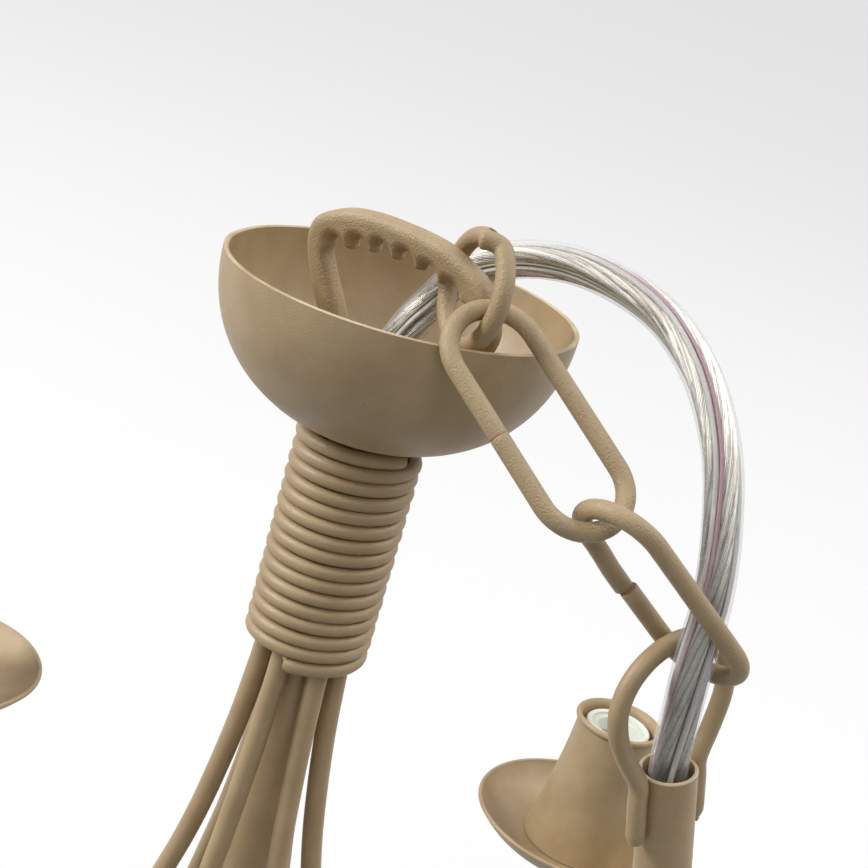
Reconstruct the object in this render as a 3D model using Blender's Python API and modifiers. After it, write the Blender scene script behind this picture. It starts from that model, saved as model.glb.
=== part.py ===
"""Chandelier: an open bowl on a coil-bound sheaf of six arms, hung by a ring, two links and a stem.

Metres, +Z up. The origin is on the body's axis, at the height of the arms' lowest bends.
"""

import math

import bmesh
import bpy
from mathutils import Matrix, Vector

MM = 0.001

# Fits and tessellation
GAP = 0.3 * MM
OVERRUN = 5 * MM
MERGE = 0.00001
COARSE_STEPS = 16
FINE_STEPS = 20
BOWL_STEPS = 40
WIRE_SIDES_RESOLUTION = 2
BEND_STEPS = 8

# Body: bowl, central tube and binding coil
COIL_TOP_HEIGHT = 250 * MM
BOWL_RADIUS = 33.3 * MM
BOWL_DEPTH = 29.7 * MM
BOWL_WALL = 1.0 * MM
BOWL_FULLNESS = 2.16
BOWL_FLOOR_HEIGHT = 1.2 * MM
BOWL_ARC_POINTS = 11
TUBE_RADIUS = 5.0 * MM
TUBE_BORE_RADIUS = 4.0 * MM
TUBE_TOP_HEIGHT = 6.1 * MM
TUBE_LENGTH = 124 * MM
COIL_WIRE_DIAMETER = 2.4 * MM
COIL_PITCH = 2.9 * MM
COIL_TURNS = 15.2
COIL_POINTS_PER_TURN = 15
COIL_TOP_ANGLE = math.radians(-38)
COIL_RISE = 1.0 * MM
ARM_COUNT = 6
ARM_RADIUS = 2.1 * MM
ARM_REACH = 212 * MM
ARM_LOWEST_DROP = 247.9 * MM
ARM_POINT_SPACING = 24 * MM
FIRST_ARM_ANGLE = math.radians(-86)

# Nuts and finial on the central tube
BOWL_NUT_RADIUS = 8.1 * MM
BOWL_NUT_HEIGHT = 3.0 * MM
BOWL_NUT_CLEAR_HEIGHT = 3.45 * MM
BOTTOM_NUT_RADIUS = 8.1 * MM
BOTTOM_NUT_HEIGHT = 5.0 * MM
BOTTOM_NUT_RISE = 6.0 * MM
FINIAL_RADIUS = 7.0 * MM
FINIAL_HEIGHT = 16.0 * MM

# Saucer, candle cup and lampholder on each arm
SAUCER_DROP = 175 * MM
SAUCER_RADIUS = 34.6 * MM
SAUCER_RISE = 8.0 * MM
SAUCER_WALL = 1.2 * MM
CUP_BASE_RADIUS = 18.2 * MM
CUP_RIM_RADIUS = 12.8 * MM
CUP_HEIGHT = 44.0 * MM
CUP_WALL = 1.2 * MM
CUP_ROLL = 1.0 * MM
HOLDER_RADIUS = 10.2 * MM
HOLDER_BODY_RADIUS = 9.2 * MM
HOLDER_BORE_RADIUS = 6.2 * MM
HOLDER_HEIGHT = 32.0 * MM
HOLDER_COLLAR_HEIGHT = 6.0 * MM
HOLDER_BORE_DEPTH = 22.0 * MM
HOLDER_BELOW_RIM = 2.0 * MM
HOLDER_RECESS = 1.0 * MM
HOLDER_RING_WIDTH = 1.8 * MM

# Hanger: a cast stirrup that leans towards the chain
HANGER_TURN = math.radians(35)
HANGER_LEAN = math.radians(14)
HANGER_FOOT_HEIGHT = 2.0 * MM
HANGER_RISE = 41.1 * MM
HANGER_THICKNESS = 4.2 * MM
HANGER_EDGE = 1.3 * MM
HUB_RADIUS = 8.5 * MM
HUB_BORE_RADIUS = 5.0 * MM
HUB_BASE = 7.1 * MM
HUB_HEIGHT = 4.2 * MM
HUB_CLEAR_HEIGHT = 11.0 * MM
NOTCH_RADIUS = 2.6 * MM
GRIP_WALL = 0.7 * MM

# Chain: a C-ring and two links of one wire
CHAIN_WIRE_RADIUS = 1.65 * MM
RING_RADIUS = 9.84 * MM
RING_GAP_ANGLE = math.radians(10)
LINK_HALF_STRAIGHT = 13.26 * MM
LINK_BEND_RADIUS = 7.94 * MM
LINK_CUT = 0.5 * MM
LINK_CUT_OFFSET = 0.9 * MM

# Stem: a bail of bent wire on a tube
BAIL_WIRE_RADIUS = 1.75 * MM
BAIL_HALF_WIDTH = 12.7 * MM
BAIL_HEIGHT = 25.9 * MM
BAIL_FOOT = 13.0 * MM
STEM_RADIUS = 5.3 * MM
STEM_WALL = 0.75 * MM
STEM_LENGTH = 140 * MM

# Flex
FLEX_RADIUS = 3.45 * MM
FLEX_POINT_SPACING = 7.0 * MM

# Ceiling end of the stem
CANOPY_RADIUS = 48 * MM
CANOPY_DEPTH = 24 * MM
CANOPY_WALL = 1.0 * MM
COLLAR_RADIUS = 9.0 * MM
COLLAR_HEIGHT = 9.0 * MM
SCREW_RADIUS = 1.4 * MM
SCREW_HEAD_RADIUS = 2.6 * MM
SCREW_HEAD_LENGTH = 3.0 * MM
BAR_LENGTH = 78 * MM
BAR_WIDTH = 14 * MM
BAR_THICKNESS = 1.6 * MM
BAR_INSET = 6.0 * MM
BAR_NUT_RADIUS = 8.1 * MM
BAR_NUT_HEIGHT = 3.2 * MM

# Places in the suspension, as shares of the bowl's radius from the coil's top
RING_CENTRE_SHARES = (0.3799, -0.6168, 1.1778)
LINK_1_CENTRE_SHARES = (0.8511, -1.0865, 0.7481)
LINK_2_CENTRE_SHARES = (1.6916, -1.2114, 0.0871)
MOUTH_SHARES = (2.0691, -0.9159, -0.9550)
RING_NORMAL = Vector((-0.882, -0.467, 0.066))
LINK_1_ALONG = Vector((0.725, -0.403, -0.558))
LINK_1_ACROSS = Vector((-0.665, -0.620, -0.416))
LINK_2_ALONG = Vector((0.700, 0.309, -0.644))
LINK_2_ACROSS = Vector((0.622, -0.707, 0.337))
STEM_UP = Vector((-0.254, -0.124, 0.959))
STEM_SIDE = Vector((-0.705, -0.655, -0.271))

# The flex's route between the hanger's hub and the stem's mouth, chosen by hand, from the coil's top
FLEX_ROUTE = (
    (0.9, -1.5, 19.3),
    (4.8, -1.7, 28.2),
    (13.1, -3.2, 39.7),
    (27.5, -5.7, 44.7),
    (42.9, -11.6, 42.8),
    (52.9, -20.0, 36.5),
    (59.6, -28.0, 26.6),
    (63.2, -33.6, 15.0),
    (64.94, -37.45, 3.97),
    (65.31, -38.52, -6.08),
    (66.7, -35.3, -17.5),
)

# The arm's bend from the coil to the cup: (share of the reach, share of the lowest drop)
ARM_BEND_SHARES = (
    (0, -0.004), (0, 0.085), (0, 0.169), (0.0024, 0.210), (0.0064, 0.250), (0.0132, 0.295),
    (0.0225, 0.343), (0.0371, 0.395), (0.0714, 0.492), (0.1398, 0.625), (0.2571, 0.7785),
    (0.4135, 0.904), (0.5894, 0.976), (0.7361, 1), (0.8828, 0.976), (0.965, 0.900),
    (0.995, 0.815), (1, 0.746),
)

# The hanger's flat outline, as shares of its rise: outside from the left foot over the arch to the
# right foot, then inside and back along the notches' tips
HANGER_OUTER_SHARES = (
    (-0.243, 0.209), (-0.273, 0.341), (-0.314, 0.496), (-0.367, 0.616), (-0.406, 0.754),
    (-0.411, 0.842), (-0.380, 0.922), (-0.297, 0.978), (-0.178, 1.029), (-0.027, 1.058),
    (0.109, 1.068), (0.243, 1.071), (0.375, 1.061), (0.496, 1.029), (0.591, 0.988),
    (0.640, 0.939), (0.669, 0.881), (0.691, 0.813), (0.696, 0.754), (0.667, 0.672),
    (0.584, 0.550), (0.404, 0.360), (0.243, 0.209),
)
HANGER_INNER_SHARES = (
    (0.122, 0.209), (0.316, 0.428), (0.501, 0.613), (0.589, 0.715), (0.606, 0.788),
    (0.591, 0.852), (0.550, 0.891), (0.484, 0.886), (0.387, 0.922), (0.243, 0.932),
    (0.107, 0.929), (-0.027, 0.912), (-0.158, 0.878), (-0.248, 0.866), (-0.292, 0.837),
    (-0.302, 0.788), (-0.265, 0.696), (-0.190, 0.518), (-0.146, 0.353), (-0.117, 0.209),
)
NOTCH_SHARES = ((-0.234, 0.891), (-0.100, 0.934), (0.027, 0.961), (0.163, 0.973),
                (0.294, 0.964), (0.428, 0.939))

# The bend of the bail above the tube's mouth: (share of its widening, share of its height)
BAIL_SHOULDER_SHARES = ((0, -0.19), (0, -0.02), (0.45, 0.174), (0.89, 0.394), (1, 0.568))


def clear_scene():
    for item in list(bpy.data.objects):
        bpy.data.objects.remove(item, do_unlink=True)


def new_collection(name):
    group = bpy.data.collections.new(name)
    bpy.context.scene.collection.children.link(group)
    return group


def linear(value):
    return value / 12.92 if value <= 0.04045 else ((value + 0.055) / 1.055) ** 2.4


def new_material(name, colour, roughness, metallic=0.0):
    material = bpy.data.materials.new(name)
    material.use_nodes = True
    shader = material.node_tree.nodes["Principled BSDF"]
    channels = [linear(int(colour[i:i + 2], 16) / 255) for i in (0, 2, 4)]
    shader.inputs["Base Color"].default_value = (*channels, 1)
    shader.inputs["Roughness"].default_value = roughness
    shader.inputs["Metallic"].default_value = metallic
    return material


def add_object(name, data, material, group, place=None):
    item = bpy.data.objects.new(name, data)
    group.objects.link(item)
    if place is not None:
        item.matrix_world = place
    data.materials.append(material)
    return item


def at_height(shares):
    """A place given in shares of the bowl's radius from the coil's top."""
    return Vector(shares) * BOWL_RADIUS + Vector((0, 0, COIL_TOP_HEIGHT))


def axes_matrix(origin, x_axis, z_axis):
    """A frame whose Z is z_axis and whose X lies as near x_axis as it can."""
    z = z_axis.normalized()
    x = (x_axis - z * x_axis.dot(z)).normalized()
    y = z.cross(x)
    turn = Matrix((x, y, z)).transposed()
    return Matrix.Translation(origin) @ turn.to_4x4()


def turned(name, profile, material, group, place=None, steps=FINE_STEPS, closed=True):
    """A profile of (radius, height) points turned about Z. Its outer side runs from top to bottom."""
    mesh = bpy.data.meshes.new(name)
    count = len(profile)
    edges = [(i, i + 1) for i in range(count - 1)]
    if closed:
        edges.append((count - 1, 0))
    mesh.from_pydata([(radius, 0, height) for radius, height in profile], edges, [])
    item = add_object(name, mesh, material, group, place)
    screw = item.modifiers.new("Turn", "SCREW")
    screw.steps = steps
    screw.render_steps = steps
    screw.use_merge_vertices = True
    screw.merge_threshold = MERGE
    screw.use_smooth_shade = True
    return item


def smooth_path(points, spacing):
    """Points along a Catmull-Rom curve through the given ones, at about the given spacing."""
    points = [Vector(point) for point in points]
    ends = [points[0] * 2 - points[1]] + points + [points[-1] * 2 - points[-2]]
    path = []
    for before, start, stop, after in zip(ends, ends[1:], ends[2:], ends[3:]):
        steps = max(1, math.ceil((stop - start).length / spacing))
        for step in range(steps):
            t = step / steps
            first = start * 2 + (stop - before) * t
            square = (before * 2 - start * 5 + stop * 4 - after) * t ** 2
            cube = (start * 3 - before - stop * 3 + after) * t ** 3
            path.append((first + square + cube) / 2)
    path.append(points[-1])
    return path


def wire(name, points, radius, material, group, place=None, closed=False,
         resolution=WIRE_SIDES_RESOLUTION):
    """A round wire along the points."""
    curve = bpy.data.curves.new(name, "CURVE")
    curve.dimensions = "3D"
    curve.bevel_depth = radius
    curve.bevel_resolution = resolution
    curve.use_fill_caps = True
    spline = curve.splines.new("POLY")
    spline.points.add(len(points) - 1)
    for point, place_on_path in zip(spline.points, points):
        point.co = (*place_on_path, 1)
    spline.use_cyclic_u = closed
    spline.use_smooth = True
    return add_object(name, curve, material, group, place)


def cylinder(name, radius, low, high, material, group, place=None, sides=COARSE_STEPS):
    """A plain cylinder or, with six sides, a hexagon, between two heights."""
    mesh = bpy.data.meshes.new(name)
    shape = bmesh.new()
    lift = Matrix.Translation((0, 0, (low + high) / 2))
    bmesh.ops.create_cone(shape, cap_ends=True, segments=sides, radius1=radius, radius2=radius,
                          depth=high - low, matrix=lift)
    shape.to_mesh(mesh)
    shape.free()
    return add_object(name, mesh, material, group, place)


def as_mesh(item):
    """The curve object made into a mesh object with welded caps, in the same place."""
    graph = bpy.context.evaluated_depsgraph_get()
    mesh = bpy.data.meshes.new_from_object(item.evaluated_get(graph))
    shape = bmesh.new()
    shape.from_mesh(mesh)
    bmesh.ops.remove_doubles(shape, verts=shape.verts, dist=MERGE)
    bmesh.ops.recalc_face_normals(shape, faces=shape.faces)
    shape.to_mesh(mesh)
    shape.free()
    name, place, group = item.name, item.matrix_world.copy(), item.users_collection[0]
    bpy.data.objects.remove(item, do_unlink=True)
    made = bpy.data.objects.new(name, mesh)
    group.objects.link(made)
    made.matrix_world = place
    mesh.name = name
    return made


def boolean(item, other, operation):
    """A Boolean of the item with a helper object that isn't part of the model itself."""
    other.hide_render = True
    other.display_type = "WIRE"
    modifier = item.modifiers.new(other.name, "BOOLEAN")
    modifier.operation = operation
    modifier.object = other
    return modifier


def ring_profile(inner, outer, low, high):
    return [(outer, high), (outer, low), (inner, low), (inner, high)]


def body_level(height=0.0):
    return Matrix.Translation((0, 0, COIL_TOP_HEIGHT + height))


def bowl_arc(radius, depth, edge_radius, count):
    """Points down a half ellipse, a little fuller than a true one, to where its radius is edge_radius."""
    power = 2 / BOWL_FULLNESS
    last = math.acos((edge_radius / radius) ** (1 / power))
    angles = [last * i / (count - 1) for i in range(count)]
    return [(radius * math.cos(a) ** power, -depth * math.sin(a) ** power) for a in angles]


def rim_height():
    return BOWL_FLOOR_HEIGHT + BOWL_DEPTH


def make_bowl(paint, group):
    hole = TUBE_RADIUS + GAP
    outer = bowl_arc(BOWL_RADIUS, BOWL_DEPTH, hole, BOWL_ARC_POINTS)
    inner = bowl_arc(BOWL_RADIUS - BOWL_WALL, BOWL_DEPTH - BOWL_WALL, hole, BOWL_ARC_POINTS)
    turned("bowl", outer + inner[::-1], paint, group, body_level(rim_height()),
           BOWL_STEPS)


def make_central_tube(paint, group):
    bottom = TUBE_TOP_HEIGHT - TUBE_LENGTH
    profile = ring_profile(TUBE_BORE_RADIUS, TUBE_RADIUS, bottom, TUBE_TOP_HEIGHT)
    turned("central_tube", profile, paint, group, body_level(), COARSE_STEPS)
    nut_low = bottom + BOTTOM_NUT_RISE
    hex_nut("bottom_nut", BOTTOM_NUT_RADIUS, nut_low, nut_low + BOTTOM_NUT_HEIGHT,
            TUBE_RADIUS + GAP, paint, group, body_level())
    top = bottom - GAP
    ball = [(FINIAL_RADIUS, top), (FINIAL_RADIUS, top - FINIAL_HEIGHT / 5)]
    for step in range(7):
        angle = math.pi / 2 * step / 6
        radius = FINIAL_RADIUS * 0.9 * math.cos(angle)
        ball.append((radius, top - FINIAL_HEIGHT / 4 - FINIAL_HEIGHT * 3 / 4 * math.sin(angle)))
    ball[-1] = (0, ball[-1][1])
    turned("finial", [(0, top)] + ball, paint, group, body_level(), COARSE_STEPS, closed=False)


def hex_nut(name, radius, low, high, bore, material, group, place):
    nut = cylinder(name, radius, low, high, material, group, place, sides=6)
    hole = cylinder(name + "_hole", bore, low - OVERRUN, high + OVERRUN, material,
                    bpy.data.collections["helpers"], place)
    boolean(nut, hole, "DIFFERENCE")
    return nut


def arm_ring_radius():
    return TUBE_RADIUS + GAP + ARM_RADIUS


def coil_radius():
    return arm_ring_radius() + ARM_RADIUS + GAP + COIL_WIRE_DIAMETER / 2


def make_coil(paint, group):
    """One unbroken right-handed helix. Prints its least gap to itself."""
    count = round(COIL_TURNS * COIL_POINTS_PER_TURN)
    points = []
    for step in range(count + 1):
        turn = step / COIL_POINTS_PER_TURN
        angle = COIL_TOP_ANGLE - math.tau * turn
        height = COIL_RISE - COIL_PITCH * turn
        points.append(Vector((coil_radius() * math.cos(angle), coil_radius() * math.sin(angle),
                              height)))
    wire("binding_coil", points, COIL_WIRE_DIAMETER / 2, paint, group, body_level(), resolution=1)
    near = range(COIL_POINTS_PER_TURN - 2, COIL_POINTS_PER_TURN + 3)
    least = min((points[i] - points[i + k]).length for k in near for i in range(count + 1 - k))
    print("binding_coil least gap to itself, mm:", round((least - COIL_WIRE_DIAMETER) / MM, 2))


def arm_point(reach_share, drop_share):
    inner = arm_ring_radius()
    return inner + (ARM_REACH - inner) * reach_share, -ARM_LOWEST_DROP * drop_share


def arm_direction(index):
    angle = FIRST_ARM_ANGLE + math.tau * index / ARM_COUNT
    return Vector((math.sin(angle), -math.cos(angle), 0))


def cup_floor_height():
    return SAUCER_WALL / 2 + GAP


def holder_low():
    return cup_floor_height() + CUP_HEIGHT - HOLDER_BELOW_RIM - HOLDER_HEIGHT


def make_arm(index, paint, white, group):
    """One arm, bent in an upright plane, with its saucer, cup and lampholder."""
    out = arm_direction(index)
    route = [arm_point(*shares) for shares in ARM_BEND_SHARES]
    route.append((ARM_REACH, -SAUCER_DROP + holder_low() - GAP))
    points = smooth_path([out * r + Vector((0, 0, z)) for r, z in route], ARM_POINT_SPACING)
    number = str(index + 1)
    wire("arm_" + number, points, ARM_RADIUS, paint, group, body_level())
    seat = Matrix.Translation(out * ARM_REACH) @ body_level(-SAUCER_DROP)
    make_saucer("saucer_" + number, paint, group, seat)
    make_cup("candle_cup_" + number, paint, group, seat)
    make_holder("lampholder_" + number, white, group, seat)


def make_saucer(name, paint, group, seat):
    half = SAUCER_WALL / 2
    hole = ARM_RADIUS + GAP
    dish = SAUCER_RADIUS - CUP_BASE_RADIUS
    shares = ((0, 0), (0.5, 0.12), (0.85, 0.5), (1, 1))
    line = [(CUP_BASE_RADIUS + dish * out, SAUCER_RISE * up) for out, up in shares]
    under = [(r + half * i / 3, z - half * (3 - i) / 3) for i, (r, z) in enumerate(line)]
    upper = [(r - half * i / 3, z + half * (3 - i) / 3) for i, (r, z) in enumerate(line)]
    profile = under[::-1] + [(hole, -half), (hole, half)] + upper
    turned(name, profile, paint, group, seat, FINE_STEPS)


def make_cup(name, paint, group, seat):
    low = cup_floor_height()
    top = low + CUP_HEIGHT
    shares = ((0, 1), (0.55, 0.38), (1, 0))
    line = [(CUP_RIM_RADIUS + (CUP_BASE_RADIUS - CUP_RIM_RADIUS) * out,
             low + (CUP_HEIGHT - CUP_ROLL * 2) * up) for out, up in shares]
    roll = [(CUP_RIM_RADIUS, top), (CUP_RIM_RADIUS + CUP_ROLL, top - CUP_ROLL / 2),
            (CUP_RIM_RADIUS + CUP_ROLL, top - CUP_ROLL * 3 / 2)]
    inner = [(r - CUP_WALL, z) for r, z in line]
    profile = roll + line + inner[::-1] + [(CUP_RIM_RADIUS - CUP_WALL, top)]
    turned(name, profile, paint, group, seat, FINE_STEPS)


def make_holder(name, white, group, seat):
    low = holder_low()
    top = low + HOLDER_HEIGHT
    recess = top - HOLDER_RECESS
    profile = [
        (0, top - HOLDER_BORE_DEPTH),
        (HOLDER_BORE_RADIUS, top - HOLDER_BORE_DEPTH),
        (HOLDER_BORE_RADIUS, recess),
        (HOLDER_RADIUS - HOLDER_RING_WIDTH, recess),
        (HOLDER_RADIUS - HOLDER_RING_WIDTH, top),
        (HOLDER_RADIUS, top),
        (HOLDER_RADIUS, top - HOLDER_COLLAR_HEIGHT),
        (HOLDER_BODY_RADIUS, top - HOLDER_COLLAR_HEIGHT),
        (HOLDER_BODY_RADIUS, low),
        (0, low),
    ]
    turned(name, profile, white, group, seat, COARSE_STEPS, closed=False)


def hanger_frame():
    """X along the arch to its right end, Y up the hanger, Z through its thickness."""
    along = Vector((math.cos(HANGER_TURN), -math.sin(HANGER_TURN), 0))
    away = Vector((math.sin(HANGER_TURN), math.cos(HANGER_TURN), 0))
    up = Vector((0, 0, math.cos(HANGER_LEAN))) - away * math.sin(HANGER_LEAN)
    origin = Vector((0, 0, COIL_TOP_HEIGHT + HANGER_FOOT_HEIGHT))
    return axes_matrix(origin, along, along.cross(up))


def make_hanger(paint, group, helpers):
    frame = hanger_frame()
    corners = HANGER_OUTER_SHARES + HANGER_INNER_SHARES
    outline = [Vector((s, h, 0)) * HANGER_RISE for s, h in corners]
    curve = bpy.data.curves.new("hanger", "CURVE")
    curve.dimensions = "2D"
    curve.fill_mode = "BOTH"
    curve.extrude = HANGER_THICKNESS / 2 - HANGER_EDGE
    curve.bevel_depth = HANGER_EDGE
    curve.bevel_resolution = 1
    curve.offset = -HANGER_EDGE
    spline = curve.splines.new("POLY")
    spline.points.add(len(outline) - 1)
    for point, corner in zip(spline.points, outline):
        point.co = (*corner, 1)
    spline.use_cyclic_u = True
    hanger = as_mesh(add_object("hanger", curve, paint, group, frame))
    upright = frame @ Matrix.Rotation(-math.pi / 2, 4, "X")
    hub = cylinder("hanger_hub", HUB_RADIUS, HUB_BASE, HUB_BASE + HUB_HEIGHT, paint, helpers,
                   upright)
    boolean(hanger, hub, "UNION")
    bore = cylinder("hanger_bore", HUB_BORE_RADIUS, HUB_BASE - OVERRUN,
                    HUB_BASE + HUB_HEIGHT + HUB_CLEAR_HEIGHT, paint, helpers, upright)
    boolean(hanger, bore, "DIFFERENCE")
    for i, (s, h) in enumerate(NOTCH_SHARES):
        spot = frame @ Matrix.Translation(Vector((s, h, 0)) * HANGER_RISE
                                          - Vector((0, NOTCH_RADIUS, 0)))
        notch = cylinder("hanger_notch_" + str(i + 1), NOTCH_RADIUS, -HANGER_THICKNESS,
                         HANGER_THICKNESS, paint, helpers, spot, sides=16)
        boolean(hanger, notch, "DIFFERENCE")
    grip = ring_profile(HUB_BORE_RADIUS - GAP - GRIP_WALL, HUB_BORE_RADIUS - GAP,
                        HUB_BASE + GAP, HUB_BASE + HUB_HEIGHT - GAP)
    turned("cord_grip", grip, bpy.data.materials["grip_plastic"], group, upright, COARSE_STEPS)


def circle_point(centre, x_axis, y_axis, radius, angle):
    return centre + (x_axis * math.cos(angle) + y_axis * math.sin(angle)) * radius


def make_ring(paint, group):
    """The open ring on the hanger's arch. Its gap is at its top, and its origin is its centre."""
    normal = RING_NORMAL.normalized()
    frame = axes_matrix(at_height(RING_CENTRE_SHARES), Vector((0, 0, 1)), normal)
    steps = 4 * BEND_STEPS
    half = RING_GAP_ANGLE / 2
    angles = [half + (math.tau - 2 * half) * i / steps for i in range(steps + 1)]
    points = [Vector((math.cos(a), math.sin(a), 0)) * RING_RADIUS for a in angles]
    wire("c_ring", points, CHAIN_WIRE_RADIUS, paint, group, frame)


def link_bend(end, turn_from):
    """One end bend of a link, in its own frame: X along the link, Y across it."""
    points = []
    for step in range(BEND_STEPS + 1):
        angle = turn_from + math.pi * step / BEND_STEPS
        points.append(Vector((end * LINK_HALF_STRAIGHT + LINK_BEND_RADIUS * math.cos(angle),
                              LINK_BEND_RADIUS * math.sin(angle), 0)))
    return points


def make_links(paint, group):
    """The first link is welded shut. The second is cut through one limb, with the ends offset."""
    far, near = link_bend(1, -math.pi / 2), link_bend(-1, math.pi / 2)
    frame = axes_matrix(at_height(LINK_1_CENTRE_SHARES), LINK_1_ALONG,
                        LINK_1_ALONG.cross(LINK_1_ACROSS))
    wire("chain_link_1", far + near, CHAIN_WIRE_RADIUS, paint, group, frame, closed=True)
    frame = axes_matrix(at_height(LINK_2_CENTRE_SHARES), LINK_2_ALONG,
                        LINK_2_ALONG.cross(LINK_2_ACROSS))
    cut = LINK_CUT / 2
    side = Vector((0, -LINK_BEND_RADIUS, 0))
    shift = Vector((0, -LINK_CUT_OFFSET, 0))
    run = Vector((LINK_HALF_STRAIGHT / 2, 0, 0))
    start = [side + Vector((cut, 0, 0)), side + run]
    stop = [side - run, side - run / 3 * 2 + shift, side + shift - Vector((cut, 0, 0))]
    wire("chain_link_2", start + far + near + stop, CHAIN_WIRE_RADIUS, paint, group, frame)


def stem_frame():
    """Z up the stem from its mouth, X towards the bail's nearer foot."""
    return axes_matrix(at_height(MOUTH_SHARES), STEM_SIDE, STEM_UP)


def make_bail(paint, group):
    foot = STEM_RADIUS + BAIL_WIRE_RADIUS + GAP
    widening = BAIL_HALF_WIDTH - foot
    half = [Vector((foot, 0, -BAIL_FOOT))]
    half += [Vector((foot + widening * out, 0, BAIL_HEIGHT * up))
             for out, up in BAIL_SHOULDER_SHARES]
    crown = BAIL_HEIGHT * BAIL_SHOULDER_SHARES[-1][1]
    for step in range(1, 6):
        angle = math.pi / 2 * step / 6
        half.append(Vector((BAIL_HALF_WIDTH * math.cos(angle), 0,
                            crown + (BAIL_HEIGHT - crown) * math.sin(angle))))
    top = [Vector((0, 0, BAIL_HEIGHT))]
    other = [Vector((-point.x, 0, point.z)) for point in reversed(half)]
    path = smooth_path(half + top + other, BAIL_WIRE_RADIUS * 4)
    wire("stem_bail", path, BAIL_WIRE_RADIUS, paint, group, stem_frame())


def bar_height():
    """The crossbar's middle on the stem, which ends just inside the bar's outer face."""
    return BAR_INSET - STEM_LENGTH


def make_stem(paint, group):
    low = bar_height() - BAR_THICKNESS / 2 + GAP
    profile = ring_profile(STEM_RADIUS - STEM_WALL, STEM_RADIUS, low, 0)
    turned("stem_tube", profile, paint, group, stem_frame(), COARSE_STEPS)


def make_flex(clear, group):
    """The flex from the hub's bore to inside the stem's mouth, on one smooth curve."""
    lift = Vector((0, 0, COIL_TOP_HEIGHT))
    hub = hanger_frame()
    start = hub @ Vector((0, HUB_BASE + GAP, 0))
    leave = hub @ Vector((0, HUB_BASE + HUB_HEIGHT + GAP * 3, 0))
    stem = stem_frame()
    inside = [stem @ Vector((0, 0, -FLEX_RADIUS * 2 * step)) for step in (0, 1, 2)]
    route = [Vector(point) * MM + lift for point in FLEX_ROUTE]
    points = smooth_path([start, leave] + route + inside, FLEX_POINT_SPACING)
    wire("flex", points, FLEX_RADIUS, clear, group)


def make_canopy(paint, steel, group, helpers):
    """The ceiling canopy, open away from the stem's mouth, with its collar, screw and bar."""
    frame = stem_frame()
    rim = -STEM_LENGTH
    top = rim + CANOPY_DEPTH
    hole = STEM_RADIUS + GAP
    shares = ((0, 1), (0.33, 0.94), (0.66, 0.75), (0.88, 0.46), (0.98, 0.17), (1, 0))
    outer = [(hole + (CANOPY_RADIUS - hole) * out, rim + CANOPY_DEPTH * up)
             for out, up in shares]
    inner = [(hole + (CANOPY_RADIUS - CANOPY_WALL - hole) * out,
              rim + (CANOPY_DEPTH - CANOPY_WALL) * up) for out, up in shares]
    turned("ceiling_canopy", outer + inner[::-1], paint, group, frame, BOWL_STEPS)
    low = top + GAP
    collar_profile = ring_profile(hole, COLLAR_RADIUS, low, low + COLLAR_HEIGHT)
    collar = turned("canopy_collar", collar_profile, paint, group, frame, COARSE_STEPS)
    screw_frame = frame @ Matrix.Translation((0, 0, low + COLLAR_HEIGHT / 2)) @ \
        Matrix.Rotation(math.pi / 2, 4, "X")
    hole_cut = cylinder("collar_hole", SCREW_RADIUS + GAP, TUBE_RADIUS - OVERRUN,
                        COLLAR_RADIUS + OVERRUN, steel, helpers, screw_frame, sides=16)
    boolean(collar, hole_cut, "DIFFERENCE")
    head = COLLAR_RADIUS + GAP
    profile = [(0, head + SCREW_HEAD_LENGTH), (SCREW_HEAD_RADIUS, head + SCREW_HEAD_LENGTH),
               (SCREW_HEAD_RADIUS, head), (SCREW_RADIUS, head), (SCREW_RADIUS, hole),
               (0, hole)]
    turned("set_screw", profile, steel, group, screw_frame, 16, closed=False)
    bar = bpy.data.meshes.new("mounting_bar")
    shape = bmesh.new()
    bmesh.ops.create_cube(shape, size=1)
    bmesh.ops.scale(shape, vec=(BAR_LENGTH, BAR_WIDTH, BAR_THICKNESS), verts=shape.verts)
    shape.to_mesh(bar)
    shape.free()
    bar_place = frame @ Matrix.Translation((0, 0, bar_height()))
    bar_item = add_object("mounting_bar", bar, steel, group, bar_place)
    bar_hole = cylinder("mounting_bar_hole", hole, -OVERRUN, OVERRUN, steel, helpers, bar_place)
    boolean(bar_item, bar_hole, "DIFFERENCE")
    nut_low = bar_height() + BAR_THICKNESS / 2 + GAP
    hex_nut("bar_nut", BAR_NUT_RADIUS, nut_low, nut_low + BAR_NUT_HEIGHT, hole, steel, group,
            frame)


def main():
    clear_scene()
    group = new_collection("chandelier")
    helpers = new_collection("helpers")
    paint = new_material("coated_steel", "b9a58a", 0.62)
    white = new_material("lampholder_plastic", "e6e6dc", 0.45)
    clear = new_material("clear_flex", "c9c7c6", 0.18, 0.3)
    steel = new_material("zinc_steel", "a9a8a4", 0.35, 1.0)
    new_material("grip_plastic", "d8d2c6", 0.5)
    make_bowl(paint, group)
    make_central_tube(paint, group)
    hex_nut("bowl_nut", BOWL_NUT_RADIUS, BOWL_NUT_CLEAR_HEIGHT,
            BOWL_NUT_CLEAR_HEIGHT + BOWL_NUT_HEIGHT, TUBE_RADIUS + GAP, steel, group, body_level())
    make_coil(paint, group)
    for index in range(ARM_COUNT):
        make_arm(index, paint, white, group)
    make_hanger(paint, group, helpers)
    make_ring(paint, group)
    make_links(paint, group)
    make_bail(paint, group)
    make_stem(paint, group)
    make_flex(clear, group)
    make_canopy(paint, steel, group, helpers)


main()
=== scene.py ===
"""Dresses the chandelier: bowl, coil-bound arms, lamps, hanger, chain, stem and clear flex.

Laid out as an add-on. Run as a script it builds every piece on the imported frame.
"""

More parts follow.
